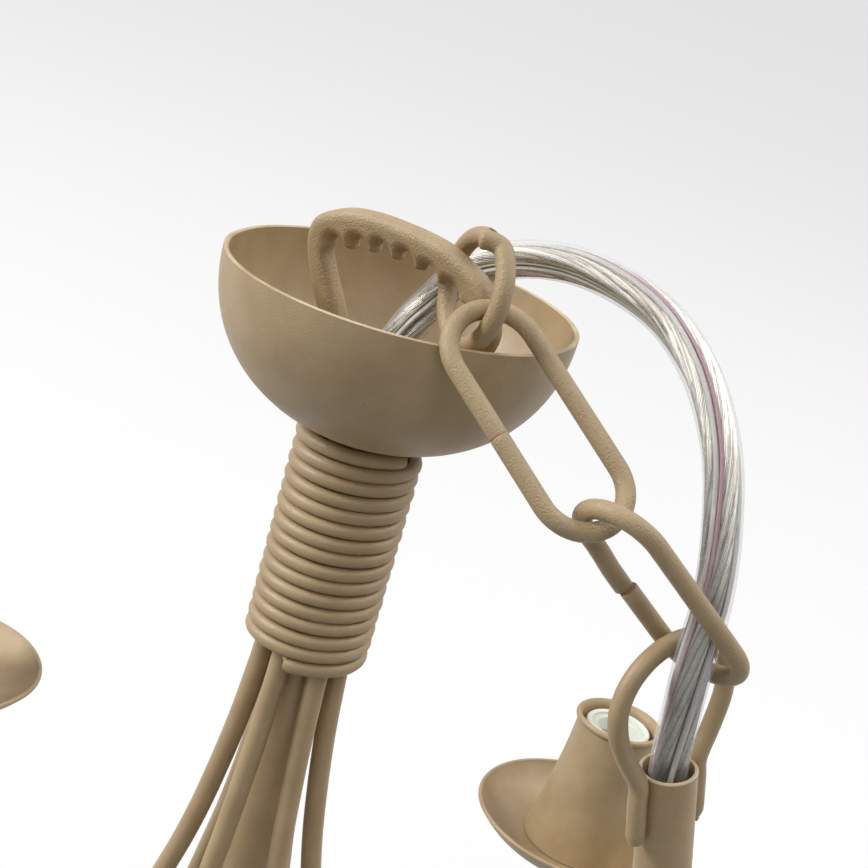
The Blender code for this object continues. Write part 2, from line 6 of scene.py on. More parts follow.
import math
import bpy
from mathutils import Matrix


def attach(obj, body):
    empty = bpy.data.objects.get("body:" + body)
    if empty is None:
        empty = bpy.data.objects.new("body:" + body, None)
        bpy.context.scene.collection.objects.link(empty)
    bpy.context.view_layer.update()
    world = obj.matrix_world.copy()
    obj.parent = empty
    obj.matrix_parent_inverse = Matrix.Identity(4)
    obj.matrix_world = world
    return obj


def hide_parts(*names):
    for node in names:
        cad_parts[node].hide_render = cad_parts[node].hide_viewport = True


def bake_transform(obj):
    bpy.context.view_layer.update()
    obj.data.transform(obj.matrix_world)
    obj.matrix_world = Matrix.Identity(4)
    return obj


bl_info = {
    "name": "Chandelier Dressing",
    "version": (1, 0, 0),
    "blender": (4, 5, 0),
    "location": "View3D > Sidebar > Chandelier",
    "description": "Models the chandelier's pieces and their finishes on its packed frame",
    "category": "Object",
}

import bpy
from bpy.props import FloatProperty, FloatVectorProperty, IntProperty, PointerProperty
from mathutils import Matrix, Vector

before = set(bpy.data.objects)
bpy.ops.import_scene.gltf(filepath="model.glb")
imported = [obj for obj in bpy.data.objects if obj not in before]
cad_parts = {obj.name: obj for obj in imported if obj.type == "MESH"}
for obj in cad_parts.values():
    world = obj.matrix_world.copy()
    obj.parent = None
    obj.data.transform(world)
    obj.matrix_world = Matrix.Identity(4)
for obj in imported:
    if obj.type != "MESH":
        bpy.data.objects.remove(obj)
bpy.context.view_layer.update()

MM = 0.001
COIL_TOP = 250 * MM
PHOTO_SIZE = 868
PHOTO_FOCAL = 1800
SAUCER_DROP = 175 * MM
BOWL_HOLE = 5.25 * MM
BOWL_FLOOR = 1.2 * MM
RING_RADIUS = 9.84 * MM
LINK_BEND = 7.94 * MM
LINK_HALF = 13.26 * MM
BEND_STEPS = 26
HANGER_TURN = math.radians(35)
HANGER_LEAN = math.radians(14)
FIRST_ARM = math.radians(-86)
COIL_START = math.radians(-38)
# Painted shade on the strands: they are painted dark at the lower of these heights and clear at
# the upper, in metres
SHADED_HEIGHTS = (0.25, 0.294)


def to_linear(hex_value):
    """An sRGB hex colour as linear red, green, blue and alpha."""
    channels = [int(hex_value[i:i + 2], 16) / 255 for i in (0, 2, 4)]
    linear = [c / 12.92 if c <= 0.04045 else ((c + 0.055) / 1.055) ** 2.4 for c in channels]
    return (*linear, 1.0)


def colour_property(name, description, hex_value):
    return FloatVectorProperty(name=name, description=description, subtype="COLOR", size=4,
                               min=0, max=1, default=to_linear(hex_value))


def length_property(name, description, millimetres):
    return FloatProperty(name=name, description=description, default=millimetres * MM,
                         unit="LENGTH", subtype="DISTANCE", precision=5)


class BodySettings(bpy.types.PropertyGroup):
    """Sizes of the bowl, the coil and the arms."""
    bowl_radius: length_property("Bowl radius", "Outer radius at the bowl's rim", 33.3)
    bowl_depth: length_property("Bowl depth", "Outer depth from the rim to the bottom", 29.7)
    bowl_wall: length_property("Bowl wall", "Thickness of the spun sheet", 1.0)
    bowl_fullness: FloatProperty(name="Bowl fullness", description="2 for a true half ellipse",
                                 default=2.16)
    coil_wire: length_property("Coil wire", "Diameter of the binding wire", 2.84)
    coil_pitch: length_property("Coil pitch", "Rise of the coil in one turn", 2.9)
    coil_radius: length_property("Coil radius", "Radius of the coil's centreline", 10.97)
    coil_turns: FloatProperty(name="Coil turns", description="Turns of the coil", default=15.175)
    arm_radius: length_property("Arm radius", "Radius of an arm's tube", 2.1)
    arm_reach: length_property("Arm reach", "Distance of a lamp from the body's axis", 212)


class LampSettings(bpy.types.PropertyGroup):
    """Sizes of the lamps at the arms' ends."""
    count: IntProperty(name="Lamps", description="How many arms and lamps", default=6)
    saucer_radius: length_property("Saucer radius", "Radius at the saucer's lip", 34.6)
    cup_base: length_property("Cup base", "Radius of the candle cup's base", 18.2)
    cup_rim: length_property("Cup rim", "Radius of the candle cup's rim", 12.8)
    cup_height: length_property("Cup height", "Height of the candle cup", 44)
    holder_radius: length_property("Lampholder radius", "Radius of the lampholder", 10.2)


class SuspensionSettings(bpy.types.PropertyGroup):
    """Sizes of the hanger, the chain, the stem and the flex."""
    hanger_rise: length_property("Hanger rise", "Height that its outline is scaled by", 41.1)
    hanger_depth: length_property("Hanger depth", "Thickness of the cast hanger", 4.2)
    hanger_edge: length_property("Hanger edge", "Rounding of the casting's edges", 1.7)
    chain_wire: length_property("Chain wire", "Diameter of the ring's and links' wire", 3.4)
    bail_wire: length_property("Bail wire", "Diameter of the bail's wire", 3.55)
    stem_radius: length_property("Stem radius", "Outer radius of the stem's tube", 5.3)
    stem_length: length_property("Stem length", "Length of the stem's tube", 134.5)
    flex_radius: length_property("Flex radius", "Radius of the flex's clear jacket", 3.5)
    core_lay: length_property("Core lay", "Length in which the cores twist round once", 260)
    strand_lay: length_property("Strand lay", "Length in which a core's strands turn once", 90)


class FinishSettings(bpy.types.PropertyGroup):
    """Colours of the finishes."""
    coat: colour_property("Powder coat", "Colour of the coated steel", "B39B76")
    coat_deep: colour_property("Powder coat, deep", "Its deeper patches", "A8906B")
    # Painted highlight: this lighter cream stands for the light that catches the bowl's rim, the
    # stem's mouth and the coil's burr
    coat_painted_highlight: colour_property("Powder coat, painted highlight", "Where it lies thin on an edge", "D8C6A2")
    chip: colour_property("Chip", "Steel where the coat has chipped", "6B5A44")
    holder: colour_property("Lampholder", "Colour of the moulded lampholder", "F3F1E8")
    holder_core: colour_property("Lampholder core", "Its recessed centre", "E2E6D8")
    strand: colour_property("Strand", "Colour of the tinned strands", "F4F1E8")
    # Painted shade: this dark grey for the strands inside a core stands for the shade between the
    # strands
    strand_dull: colour_property("Strand, dull", "Strands with a thicker tin", "C4BFB6")
    strand_painted_shade: colour_property("Strand, painted shade", "Strands inside a core", "8B8780")
    jacket: colour_property("Jacket", "Tint of the clear jacket", "F0F2F5")
    filler: colour_property("Filler", "Colour of the threads between the cores", "F1EFEA")
    tracer_red: colour_property("Red tracer", "Colour of one core's thread", "D0ABB2")
    tracer_green: colour_property("Green tracer", "Colour of another core's thread", "C6C2A4")
    zinc: colour_property("Zinc", "Colour of the plated fixings", "B4B3AE")
    floor: colour_property("Floor", "Colour of the floor", "F4F4F4")


# Frames of the leaning pieces, in metres

def axes_matrix(origin, x_axis, z_axis):
    """A frame whose Z is z_axis and whose X lies as near x_axis as it can."""
    z = Vector(z_axis).normalized()
    x = Vector(x_axis)
    x = (x - z * x.dot(z)).normalized()
    turn = Matrix((x, z.cross(x), z)).transposed()
    return Matrix.Translation(origin) @ turn.to_4x4()


def hanger_frame():
    """X along the hanger's arch, Y up the hanger, Z through its thickness."""
    along = Vector((math.cos(HANGER_TURN), -math.sin(HANGER_TURN), 0))
    away = Vector((math.sin(HANGER_TURN), math.cos(HANGER_TURN), 0))
    up = Vector((0, 0, math.cos(HANGER_LEAN))) - away * math.sin(HANGER_LEAN)
    return axes_matrix((0, 0, COIL_TOP + 2 * MM), along, along.cross(up))


def ring_frame():
    centre = Vector((12.65, -20.54, 289.22)) * MM
    return axes_matrix(centre, (0, 0, 1), (-0.882, -0.467, 0.066))


def link_frame(centre, along, across):
    """X along the link, Y across it."""
    return axes_matrix(Vector(centre) * MM, along, Vector(along).cross(Vector(across)))


def stem_frame():
    """Z up the stem from its mouth, X towards the bail's nearer foot."""
    mouth = Vector((68.9, -30.5, 218.2)) * MM
    return axes_matrix(mouth, (-0.705, -0.655, -0.271), (-0.254, -0.124, 0.959))


def arm_direction(index, count):
    angle = FIRST_ARM + math.tau * index / count
    return Vector((math.sin(angle), -math.cos(angle), 0))


# Hand tools

def deselect():
    if bpy.context.object and bpy.context.object.mode != "OBJECT":
        bpy.ops.object.mode_set(mode="OBJECT")
    bpy.ops.object.select_all(action="DESELECT")


def choose(piece):
    deselect()
    piece.select_set(True)
    bpy.context.view_layer.objects.active = piece


def settle(piece, place=None, angle=35):
    """Merges doubles, turns faces outwards, smooths, and puts the place into the mesh."""
    choose(piece)
    bpy.ops.object.mode_set(mode="EDIT")
    bpy.ops.mesh.select_all(action="SELECT")
    bpy.ops.mesh.remove_doubles(threshold=0.02 * MM)
    bpy.ops.mesh.normals_make_consistent(inside=False)
    bpy.ops.object.mode_set(mode="OBJECT")
    bpy.ops.object.shade_smooth_by_angle(angle=math.radians(angle))
    if place is not None:
        piece.matrix_world = place
    bpy.ops.object.transform_apply(location=True, rotation=True, scale=True)


def in_mm(*spots):
    return [(radius * MM, height * MM) for radius, height in spots]


def raise_rings(name, profile, sides, place=None, angle=35):
    """Raises a circle ring by ring through (radius, height) points, as sheet is spun."""
    deselect()
    radius, height = profile[0]
    bpy.ops.mesh.primitive_circle_add(vertices=sides, radius=max(radius, 0.01 * MM))
    piece = bpy.context.object
    piece.name = piece.data.name = name
    bpy.ops.object.mode_set(mode="EDIT")
    bpy.ops.mesh.select_all(action="SELECT")
    bpy.ops.transform.translate(value=(0, 0, height))
    radius = max(radius, 0.01 * MM)
    for next_radius, next_height in profile[1:]:
        share = max(next_radius, 0.01 * MM) / radius
        lift = {"value": (0, 0, next_height - height)}
        bpy.ops.mesh.extrude_region_move(TRANSFORM_OT_translate=lift)
        bpy.ops.transform.resize(value=(share, share, 1), center_override=(0, 0, next_height))
        radius, height = max(next_radius, 0.01 * MM), next_height
    settle(piece, place, angle)
    return piece


def smooth_path(points, spacing):
    """Points along a Catmull-Rom curve through the given ones."""
    points = [Vector(point) for point in points]
    ends = [points[0] * 2 - points[1]] + points + [points[-1] * 2 - points[-2]]
    path = []
    for before, start, stop, after in zip(ends, ends[1:], ends[2:], ends[3:]):
        steps = max(1, math.ceil((stop - start).length / spacing))
        for step in range(steps):
            t = step / steps
            first = start * 2 + (stop - before) * t
            square = (before * 2 - start * 5 + stop * 4 - after) * t ** 2
            cube = (start * 3 - before - stop * 3 + after) * t ** 3
            path.append((first + square + cube) / 2)
    path.append(points[-1])
    return path


def draw_line(name, points, closed):
    """Draws a curve of straight runs through the points, and gives the curve and its run."""
    deselect()
    bpy.ops.curve.primitive_bezier_curve_add()
    piece = bpy.context.object
    piece.name = piece.data.name = name
    line = piece.data
    line.splines.clear()
    spline = line.splines.new("POLY")
    spline.points.add(len(points) - 1)
    for point, spot in zip(spline.points, points):
        point.co = (*spot, 1)
    spline.use_cyclic_u = closed
    return line, spline


def draw_wire(name, points, radius, resolution=5, closed=False, swell=None):
    """Draws a wire along the points and makes it a mesh. Swell gives each point's thickness."""
    line, spline = draw_line(name, points, closed)
    for i, point in enumerate(spline.points):
        point.radius = swell[i] if swell else 1
    line.bevel_depth = radius
    line.bevel_resolution = resolution
    line.use_fill_caps = True
    bpy.ops.object.convert(target="MESH")
    return bpy.context.object


def apply_modifier(piece, kind, **settings):
    choose(piece)
    modifier = piece.modifiers.new(kind.title(), kind)
    for name, value in settings.items():
        setattr(modifier, name, value)
    bpy.ops.object.modifier_apply(modifier=modifier.name)


def discard(piece):
    choose(piece)
    bpy.ops.object.delete()


def cut(piece, cutter, operation="DIFFERENCE"):
    apply_modifier(piece, "BOOLEAN", operation=operation, object=cutter, solver="EXACT")
    discard(cutter)


def copy_piece(piece, name, place):
    """A copy with its own mesh, its place put into the mesh."""
    choose(piece)
    bpy.ops.object.duplicate()
    made = bpy.context.object
    made.name = made.data.name = name
    made.matrix_world = place
    bpy.ops.object.transform_apply(location=True, rotation=True, scale=True)
    return made


def select_parts(piece, kind, parts, test):
    """Selects the faces or edges that pass the test, and stays in edit mode."""
    choose(piece)
    bpy.ops.object.mode_set(mode="EDIT")
    bpy.ops.mesh.select_mode(type=kind)
    bpy.ops.mesh.select_all(action="DESELECT")
    bpy.ops.object.mode_set(mode="OBJECT")
    for part in parts:
        part.select = test(part)
    bpy.ops.object.mode_set(mode="EDIT")


def select_edges(piece, test):
    """Selects the edges whose two ends pass the test."""
    spots = piece.data.vertices
    select_parts(piece, "EDGE", piece.data.edges,
                 lambda edge: test(*[spots[i].co for i in edge.vertices]))


def finish_faces(piece, slot_index, test):
    """Gives the faces whose centre and normal pass the test the material in the slot."""
    select_parts(piece, "FACE", piece.data.polygons, lambda face: test(face.center, face.normal))
    piece.active_material_index = slot_index
    bpy.ops.object.material_slot_assign()
    bpy.ops.mesh.select_mode(type="VERT")
    bpy.ops.object.mode_set(mode="OBJECT")


def dress(piece, body, slot, *finishes):
    """Gives a piece its finishes and the body that carries it. A blended piece has no one body."""
    piece.data.materials.clear()
    for name in finishes:
        piece.data.materials.append(finish(name))
    if body:
        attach(piece, body)


# Materials

def add_node(tree, kind, settings=None, links=None):
    """Adds a node. Settings go to its fields or sockets, links join its sockets to others."""
    node = tree.nodes.new(kind)
    for name, value in (settings or {}).items():
        if isinstance(name, int) or name in node.inputs:
            node.inputs[name].default_value = value
        else:
            setattr(node, name, value)
    for name, socket in (links or {}).items():
        tree.links.new(socket, node.inputs[name])
    return node


def new_material(name, **sockets):
    """A material with its Principled shader's sockets set."""
    material = bpy.data.materials.new(name)
    material.use_nodes = True
    tree = material.node_tree
    shader = tree.nodes["Principled BSDF"]
    for socket, value in sockets.items():
        shader.inputs[socket.replace("_", " ")].default_value = value
    return material, tree, shader


def object_place(tree):
    return add_node(tree, "ShaderNodeTexCoord").outputs["Object"]


def object_height(tree):
    return add_node(tree, "ShaderNodeSeparateXYZ", None,
                    {"Vector": object_place(tree)}).outputs["Z"]


def object_noise(tree, grain, detail=2.0, roughness=0.5):
    """Noise on the object's own coordinates, with its grain in millimetres."""
    return add_node(tree, "ShaderNodeTexNoise",
                    {"Scale": 1 / (grain * MM), "Detail": detail, "Roughness": roughness},
                    {"Vector": object_place(tree)})


def mix_colours(tree, factor, first, second):
    """Mixes two colours, each of them a constant or a socket."""
    node = add_node(tree, "ShaderNodeMix", {"data_type": "RGBA"})
    tree.links.new(factor, node.inputs[0])
    for i, colour in ((6, first), (7, second)):
        if isinstance(colour, bpy.types.NodeSocket):
            tree.links.new(colour, node.inputs[i])
        else:
            node.inputs[i].default_value = colour
    return node.outputs[2]


def darkened(colour, share):
    return [c * share for c in colour[:3]] + [1.0]


def either(tree, first, second):
    """1 for a ray that is of either kind."""
    return add_node(tree, "ShaderNodeMath", {"operation": "MAXIMUM"},
                    {0: first, 1: second}).outputs[0]


def mix_shaders(tree, factor, first, second):
    return add_node(tree, "ShaderNodeMixShader", None,
                    {0: factor, 1: first, 2: second}).outputs[0]


def spread(tree, socket, low, high, to_low=0.0, to_high=1.0):
    node = add_node(tree, "ShaderNodeMapRange",
                    {"From Min": low, "From Max": high, "To Min": to_low, "To Max": to_high},
                    {"Value": socket})
    return node.outputs["Result"]


def mottle(tree, shader, noise, first, second):
    """Lets the noise carry the base colour from the first colour to the second."""
    tree.links.new(mix_colours(tree, noise.outputs["Fac"], first, second),
                   shader.inputs["Base Color"])


def vary_gloss(tree, shader, noise, low, high):
    """Lets the noise carry the roughness from low to high."""
    tree.links.new(spread(tree, noise.outputs["Fac"], 0.3, 0.7, low, high),
                   shader.inputs["Roughness"])


def raise_bumps(tree, shader, noise, strength, rise, under=None):
    """Bumps of the noise, with their rise in millimetres, on top of the bumps under them."""
    links = {"Height": noise.outputs["Fac"]}
    if under:
        links["Normal"] = under.outputs["Normal"]
    bump = add_node(tree, "ShaderNodeBump", {"Strength": strength, "Distance": rise * MM}, links)
    tree.links.new(bump.outputs["Normal"], shader.inputs["Normal"])


def powder_coat(name, base, deep, spacing, rise):
    """Polyester powder coat, sprayed and baked: satin, with the fine dimples of orange peel."""
    material, tree, shader = new_material(name, Roughness=0.42, IOR=1.55)
    # Dimples, whose spacing in millimetres and rise are the piece's own
    peel = object_noise(tree, spacing, 2.0, 0.55)
    # Powder builds unevenly over about 9 mm
    build = object_noise(tree, 9, 2.0)
    # Pinholes where the bake let gas out, 0.3 mm across and some 7 mm apart
    pits = add_node(tree, "ShaderNodeTexVoronoi", {"Scale": 1 / (7 * MM), "Randomness": 1.0},
                    {"Vector": object_place(tree)})
    patch = spread(tree, build.outputs["Fac"], 0.35, 0.65)
    # Painted shade: each pit is painted towards half the deep colour where the surface dips
    hole = spread(tree, pits.outputs["Distance"], 0.016, 0.03, 0.8, 0.0)
    colour = mix_colours(tree, hole, mix_colours(tree, patch, base, deep), darkened(deep, 0.5))
    tree.links.new(colour, shader.inputs["Base Color"])
    vary_gloss(tree, shader, peel, 0.4, 0.54)
    sunk = add_node(tree, "ShaderNodeBump", {"Strength": 0.6, "Distance": 0.05 * MM},
                    {"Height": spread(tree, pits.outputs["Distance"], 0.016, 0.04)})
    raise_bumps(tree, shader, peel, 1.0, rise, sunk)
    return material


def bare_steel(name, colour):
    """Steel bared by a chip in the coat, browned by rust: dark, dull and grainy."""
    material, tree, shader = new_material(name, Metallic=0.4, Roughness=0.7)
    rust = object_noise(tree, 0.25, 3.0)
    mottle(tree, shader, rust, colour, darkened(colour, 0.4))
    raise_bumps(tree, shader, rust, 0.7, 0.08)
    return material


def moulded_resin(name, colour):
    """Moulded urea resin, as lampholders are: off-white, smooth, with a faint cloudiness."""
    material, tree, shader = new_material(name, Roughness=0.38, IOR=1.54)
    cloud = object_noise(tree, 6, 3.0)
    mottle(tree, shader, cloud, colour, darkened(colour, 0.95))
    skin = object_noise(tree, 0.8, 2.0)
    raise_bumps(tree, shader, skin, 0.2, 0.03)
    return material


def zinc_plate(name, colour):
    """Zinc plate on turned steel: a pale metal with a fine frosted grain."""
    material, tree, shader = new_material(name, Metallic=1.0, Roughness=0.34)
    grain = object_noise(tree, 1.1, 3.0)
    mottle(tree, shader, grain, colour, darkened(colour, 0.78))
    vary_gloss(tree, shader, grain, 0.27, 0.45)
    raise_bumps(tree, shader, grain, 0.25, 0.04)
    return material


def tinned_copper(name, colour):
    """Tinned copper strands: bright white metal, painted darker towards the stem as painted shade.
    """
    material, tree, shader = new_material(name, Metallic=0.85, Roughness=0.3)
    tin = object_noise(tree, 1.6, 2.0)
    shade = [colour[0] * 0.78, colour[1] * 0.76, colour[2] * 0.76, 1.0]
    bright = mix_colours(tree, tin.outputs["Fac"], colour, shade)
    # Painted shade: low on the flex, towards the stem, the colour is mixed most of the way to a
    # fifth of itself
    dull = spread(tree, object_height(tree), *SHADED_HEIGHTS, 0.8, 0.0)
    tree.links.new(mix_colours(tree, dull, bright, darkened(colour, 0.2)),
                   shader.inputs["Base Color"])
    vary_gloss(tree, shader, tin, 0.22, 0.4)
    return material


def clear_vinyl(name, colour):
    """Clear plasticised vinyl, extruded: a glossy see-through skin that clouds at its edges."""
    material, tree, shader = new_material(name, Base_Color=colour, Roughness=0.08, IOR=1.53)
    # The wall is seen through more of its 0.8 mm where it turns away, so it hides more there
    turn = add_node(tree, "ShaderNodeLayerWeight", {"Blend": 0.4})
    tree.links.new(spread(tree, turn.outputs["Facing"], 0.1, 1.0, 0.04, 0.42),
                   shader.inputs["Alpha"])
    ripple = object_noise(tree, 3.5, 2.0)
    raise_bumps(tree, shader, ripple, 0.3, 0.1)
    return material


def dyed_thread(name, colour):
    """A dyed nylon tracer thread: matt and a little fuzzy."""
    material, tree, shader = new_material(name, Roughness=0.6)
    fuzz = object_noise(tree, 0.4, 2.0)
    mottle(tree, shader, fuzz, colour, darkened(colour, 0.7))
    return material


# Each finish: its maker, its name, the settings that give its colours, and its own numbers
FINISH_KINDS = {
    "coat": (powder_coat, "Powder coat, beige", ("coat", "coat_deep"), (0.34, 0.08)),
    "coarse": (powder_coat, "Powder coat on cast and forged steel", ("coat", "coat_deep"),
               (0.36, 0.2)),
    # The edge finish is a lighter coat, a painted highlight on rims and edges
    "edge": (powder_coat, "Powder coat, thin on edges", ("coat_painted_highlight", "coat"), (0.34, 0.05)),
    "bare": (bare_steel, "Bare steel in a chip", ("chip",), ()),
    "holder": (moulded_resin, "Urea resin, off-white", ("holder",), ()),
    "core": (moulded_resin, "Urea resin, pale green", ("holder_core",), ()),
    "zinc": (zinc_plate, "Zinc plate", ("zinc",), ()),
    "strand": (tinned_copper, "Tinned copper", ("strand",), ()),
    "dull": (tinned_copper, "Tinned copper, dull", ("strand_dull",), ()),
    # The deep strands' dark grey is a painted shade between the strands
    "deep": (tinned_copper, "Tinned copper, deep", ("strand_painted_shade",), ()),
    "filler": (dyed_thread, "Filler thread, white", ("filler",), ()),
    "jacket": (clear_vinyl, "Clear vinyl", ("jacket",), ()),
    "red": (dyed_thread, "Nylon thread, red", ("tracer_red",), ()),
    "green": (dyed_thread, "Nylon thread, green", ("tracer_green",), ()),
}
FINISHES = {}


def finish(name):
    """The finish of that name, made once."""
    if name not in FINISHES:
        maker, label, colours, numbers = FINISH_KINDS[name]
        settings = bpy.context.scene.chandelier_finish
        values = [tuple(getattr(settings, colour)) for colour in colours]
        FINISHES[name] = maker(label, *values, *numbers)
    return FINISHES[name]


# Pieces of the body

def body_level(height=0.0):
    return Matrix.Translation((0, 0, COIL_TOP + height))


class CHANDELIER_OT_bowl(bpy.types.Operator):
    """Spin the open bowl with its rounded rim"""
    bl_idname = "chandelier.bowl"
    bl_label = "Bowl"

    def execute(self, context):
        sizes = context.scene.chandelier_body
        rim, wall, depth = sizes.bowl_radius, sizes.bowl_wall, sizes.bowl_depth
        profile = self.bowl_arc(rim, depth, 2 / sizes.bowl_fullness)[::-1]
        for step in range(1, 6):
            angle = math.pi * step / 6
            profile.append((rim - wall / 2 + wall / 2 * math.cos(angle),
                            wall / 2 * math.sin(angle) - wall * 0.3))
        profile += self.bowl_arc(rim - wall, depth - wall, 2 / sizes.bowl_fullness)
        profile.append(profile[0])
        height = COIL_TOP + BOWL_FLOOR + depth
        bowl = raise_rings("bowl_spun", profile, 144, Matrix.Translation((0, 0, height)), 60)
        dress(bowl, "body", "coated_steel", "coat", "edge")
        # The rim's top faces take the lighter edge finish, a painted highlight
        finish_faces(bowl, 1, lambda spot, normal: spot.z > height - wall * 0.1)
        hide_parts("bowl")
        return {"FINISHED"}

    def bowl_arc(self, radius, depth, power):
        """From the rim down to the hole, a little fuller than a half ellipse."""
        last = math.acos((BOWL_HOLE / radius) ** (1 / power))
        angles = [last * step / 32 for step in range(33)]
        return [(radius * math.cos(a) ** power, -depth * math.sin(a) ** power) for a in angles]


class CHANDELIER_OT_coil(bpy.types.Operator):
    """Wind the binding coil in one wire, with its two cut ends"""
    bl_idname = "chandelier.coil"
    bl_label = "Binding coil"

    def execute(self, context):
        sizes = context.scene.chandelier_body
        per_turn = 56
        count = round(sizes.coil_turns * per_turn)
        points = []
        for step in range(count + 1):
            turn = step / per_turn
            angle = COIL_START - math.tau * turn
            # Hand winding leaves each turn a hair out of round and of step
            radius = sizes.coil_radius + 0.05 * MM * math.sin(turn * 2.39 + 1)
            height = 1.0 * MM - sizes.coil_pitch * turn + 0.07 * MM * math.sin(turn * 3.7)
            points.append(Vector((radius * math.cos(angle), radius * math.sin(angle), height)))
        # Its lower end was nipped off, which spread the wire and left a burr
        swell = [1.0] * len(points)
        swell[0], swell[-3:] = 0.9, (1.03, 1.1, 0.86)
        coil = draw_wire("coil_wound", points, sizes.coil_wire / 2, 5, swell=swell)
        settle(coil, body_level(), 50)
        dress(coil, "body", "coated_steel", "coat")
        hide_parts("binding_coil")
        end, before = points[-1], points[-3]
        onward = (end - before).normalized()
        place = body_level() @ axes_matrix(end + Vector((0, 0, 1.0 * MM)), (0, 0, 1),
                                           onward + Vector((0, 0, 0.5)))
        flake = in_mm((0, -0.5), (0.55, -0.4), (0.5, 0.1), (0.22, 0.5), (0.1, 0.8), (0, 0.85))
        burr = raise_rings("coil_burr", flake, 14, place, 80)
        # The burr takes the lighter edge finish, a painted highlight
        dress(burr, "body", "coated_steel", "edge")
        return {"FINISHED"}


ARM_BEND_SHARES = (
    (0, -0.004), (0, 0.085), (0, 0.169), (0.0024, 0.210), (0.0064, 0.250), (0.0132, 0.295),
    (0.0225, 0.343), (0.0371, 0.395), (0.0714, 0.492), (0.1398, 0.625), (0.2571, 0.7785),
    (0.4135, 0.904), (0.5894, 0.976), (0.7361, 1), (0.8828, 0.976), (0.965, 0.900),
    (0.995, 0.815), (1, 0.746),
)


class CHANDELIER_OT_arms(bpy.types.Operator):
    """Bend one arm and copy it round the body"""
    bl_idname = "chandelier.arms"
    bl_label = "Arms"

    def execute(self, context):
        sizes = context.scene.chandelier_body
        count = context.scene.chandelier_lamp.count
        inner, drop, end_drop = 7.4 * MM, 247.9 * MM, 165.4 * MM
        route = [Vector((inner + (sizes.arm_reach - inner) * out, 0, -drop * down))
                 for out, down in ARM_BEND_SHARES]
        route.append(Vector((sizes.arm_reach, 0, -end_drop)))
        path = smooth_path(route, 2.5 * MM)
        first = draw_wire("arm_bent", path, sizes.arm_radius, 6)
        settle(first, None, 50)
        dress(first, "body", "coated_steel", "coat")
        for index in range(count):
            out = arm_direction(index, count)
            place = body_level() @ Matrix.Rotation(math.atan2(out.y, out.x), 4, "Z")
            arm = copy_piece(first, "arm_bent_" + str(index + 1), place)
            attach(arm, "body")
            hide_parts("arm_" + str(index + 1))
        discard(first)
        return {"FINISHED"}


def chamfered_nut(name, radius, bore, low, high, place):
    """A hexagon nut: a six-sided prism with turned chamfers and a bored hole."""
    deselect()
    bpy.ops.mesh.primitive_cylinder_add(vertices=6, radius=radius, depth=high - low,
                                        location=(0, 0, (low + high) / 2))
    nut = bpy.context.object
    nut.name = nut.data.name = name
    cone = radius * 0.34
    flat, corner = radius * 0.90, radius * 1.15
    profile = [(0, low - cone), (flat - cone, low - cone), (flat, low), (corner, low + cone),
               (corner, high - cone), (flat, high), (flat - cone, high + cone), (0, high + cone)]
    barrel = raise_rings("nut_barrel", profile, 64)
    cut(nut, barrel, "INTERSECT")
    deselect()
    bpy.ops.mesh.primitive_cylinder_add(vertices=48, radius=bore, depth=high - low + 4 * MM,
                                        location=(0, 0, (low + high) / 2))
    cut(nut, bpy.context.object)
    settle(nut, place, 25)
    return nut


class CHANDELIER_OT_centre(bpy.types.Operator):
    """Turn the central tube, its nuts and its finial"""
    bl_idname = "chandelier.centre"
    bl_label = "Central tube and fixings"

    def execute(self, context):
        level = body_level()
        top, bottom = 6.1 * MM, -117.9 * MM
        outer, inner, edge = 5.0 * MM, 4.0 * MM, 0.2 * MM
        profile = [(outer - edge, top), (outer, top - edge), (outer, bottom + edge),
                   (outer - edge, bottom), (inner, bottom), (inner, top), (outer - edge, top)]
        tube = raise_rings("central_tube_drawn", profile, 48, level)
        dress(tube, "body", "coated_steel", "coat")
        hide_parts("central_tube")
        nut = chamfered_nut("bowl_nut_milled", 8.0 * MM, 5.2 * MM, 3.45 * MM, 6.45 * MM, level)
        dress(nut, "body", "zinc_steel", "zinc")
        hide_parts("bowl_nut")
        low = bottom + 6 * MM
        nut = chamfered_nut("bottom_nut_milled", 8.0 * MM, 5.2 * MM, low, low + 5 * MM, level)
        dress(nut, "body", "coated_steel", "coat")
        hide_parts("bottom_nut")
        start = bottom - 0.3 * MM
        shares = ((0, 0), (0.94, 0), (1, 0.03), (1, 0.17), (0.94, 0.2), (0.62, 0.22), (0.58, 0.27),
                  (0.72, 0.33), (0.86, 0.42), (0.9, 0.52), (0.84, 0.66), (0.66, 0.8), (0.4, 0.9),
                  (0.2, 0.94), (0.16, 0.97), (0, 1))
        profile = [(7 * MM * out, start - 16 * MM * down) for out, down in shares]
        finial = raise_rings("finial_turned", profile, 56, level, 50)
        dress(finial, "body", "coated_steel", "coat")
        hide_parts("finial")
        return {"FINISHED"}


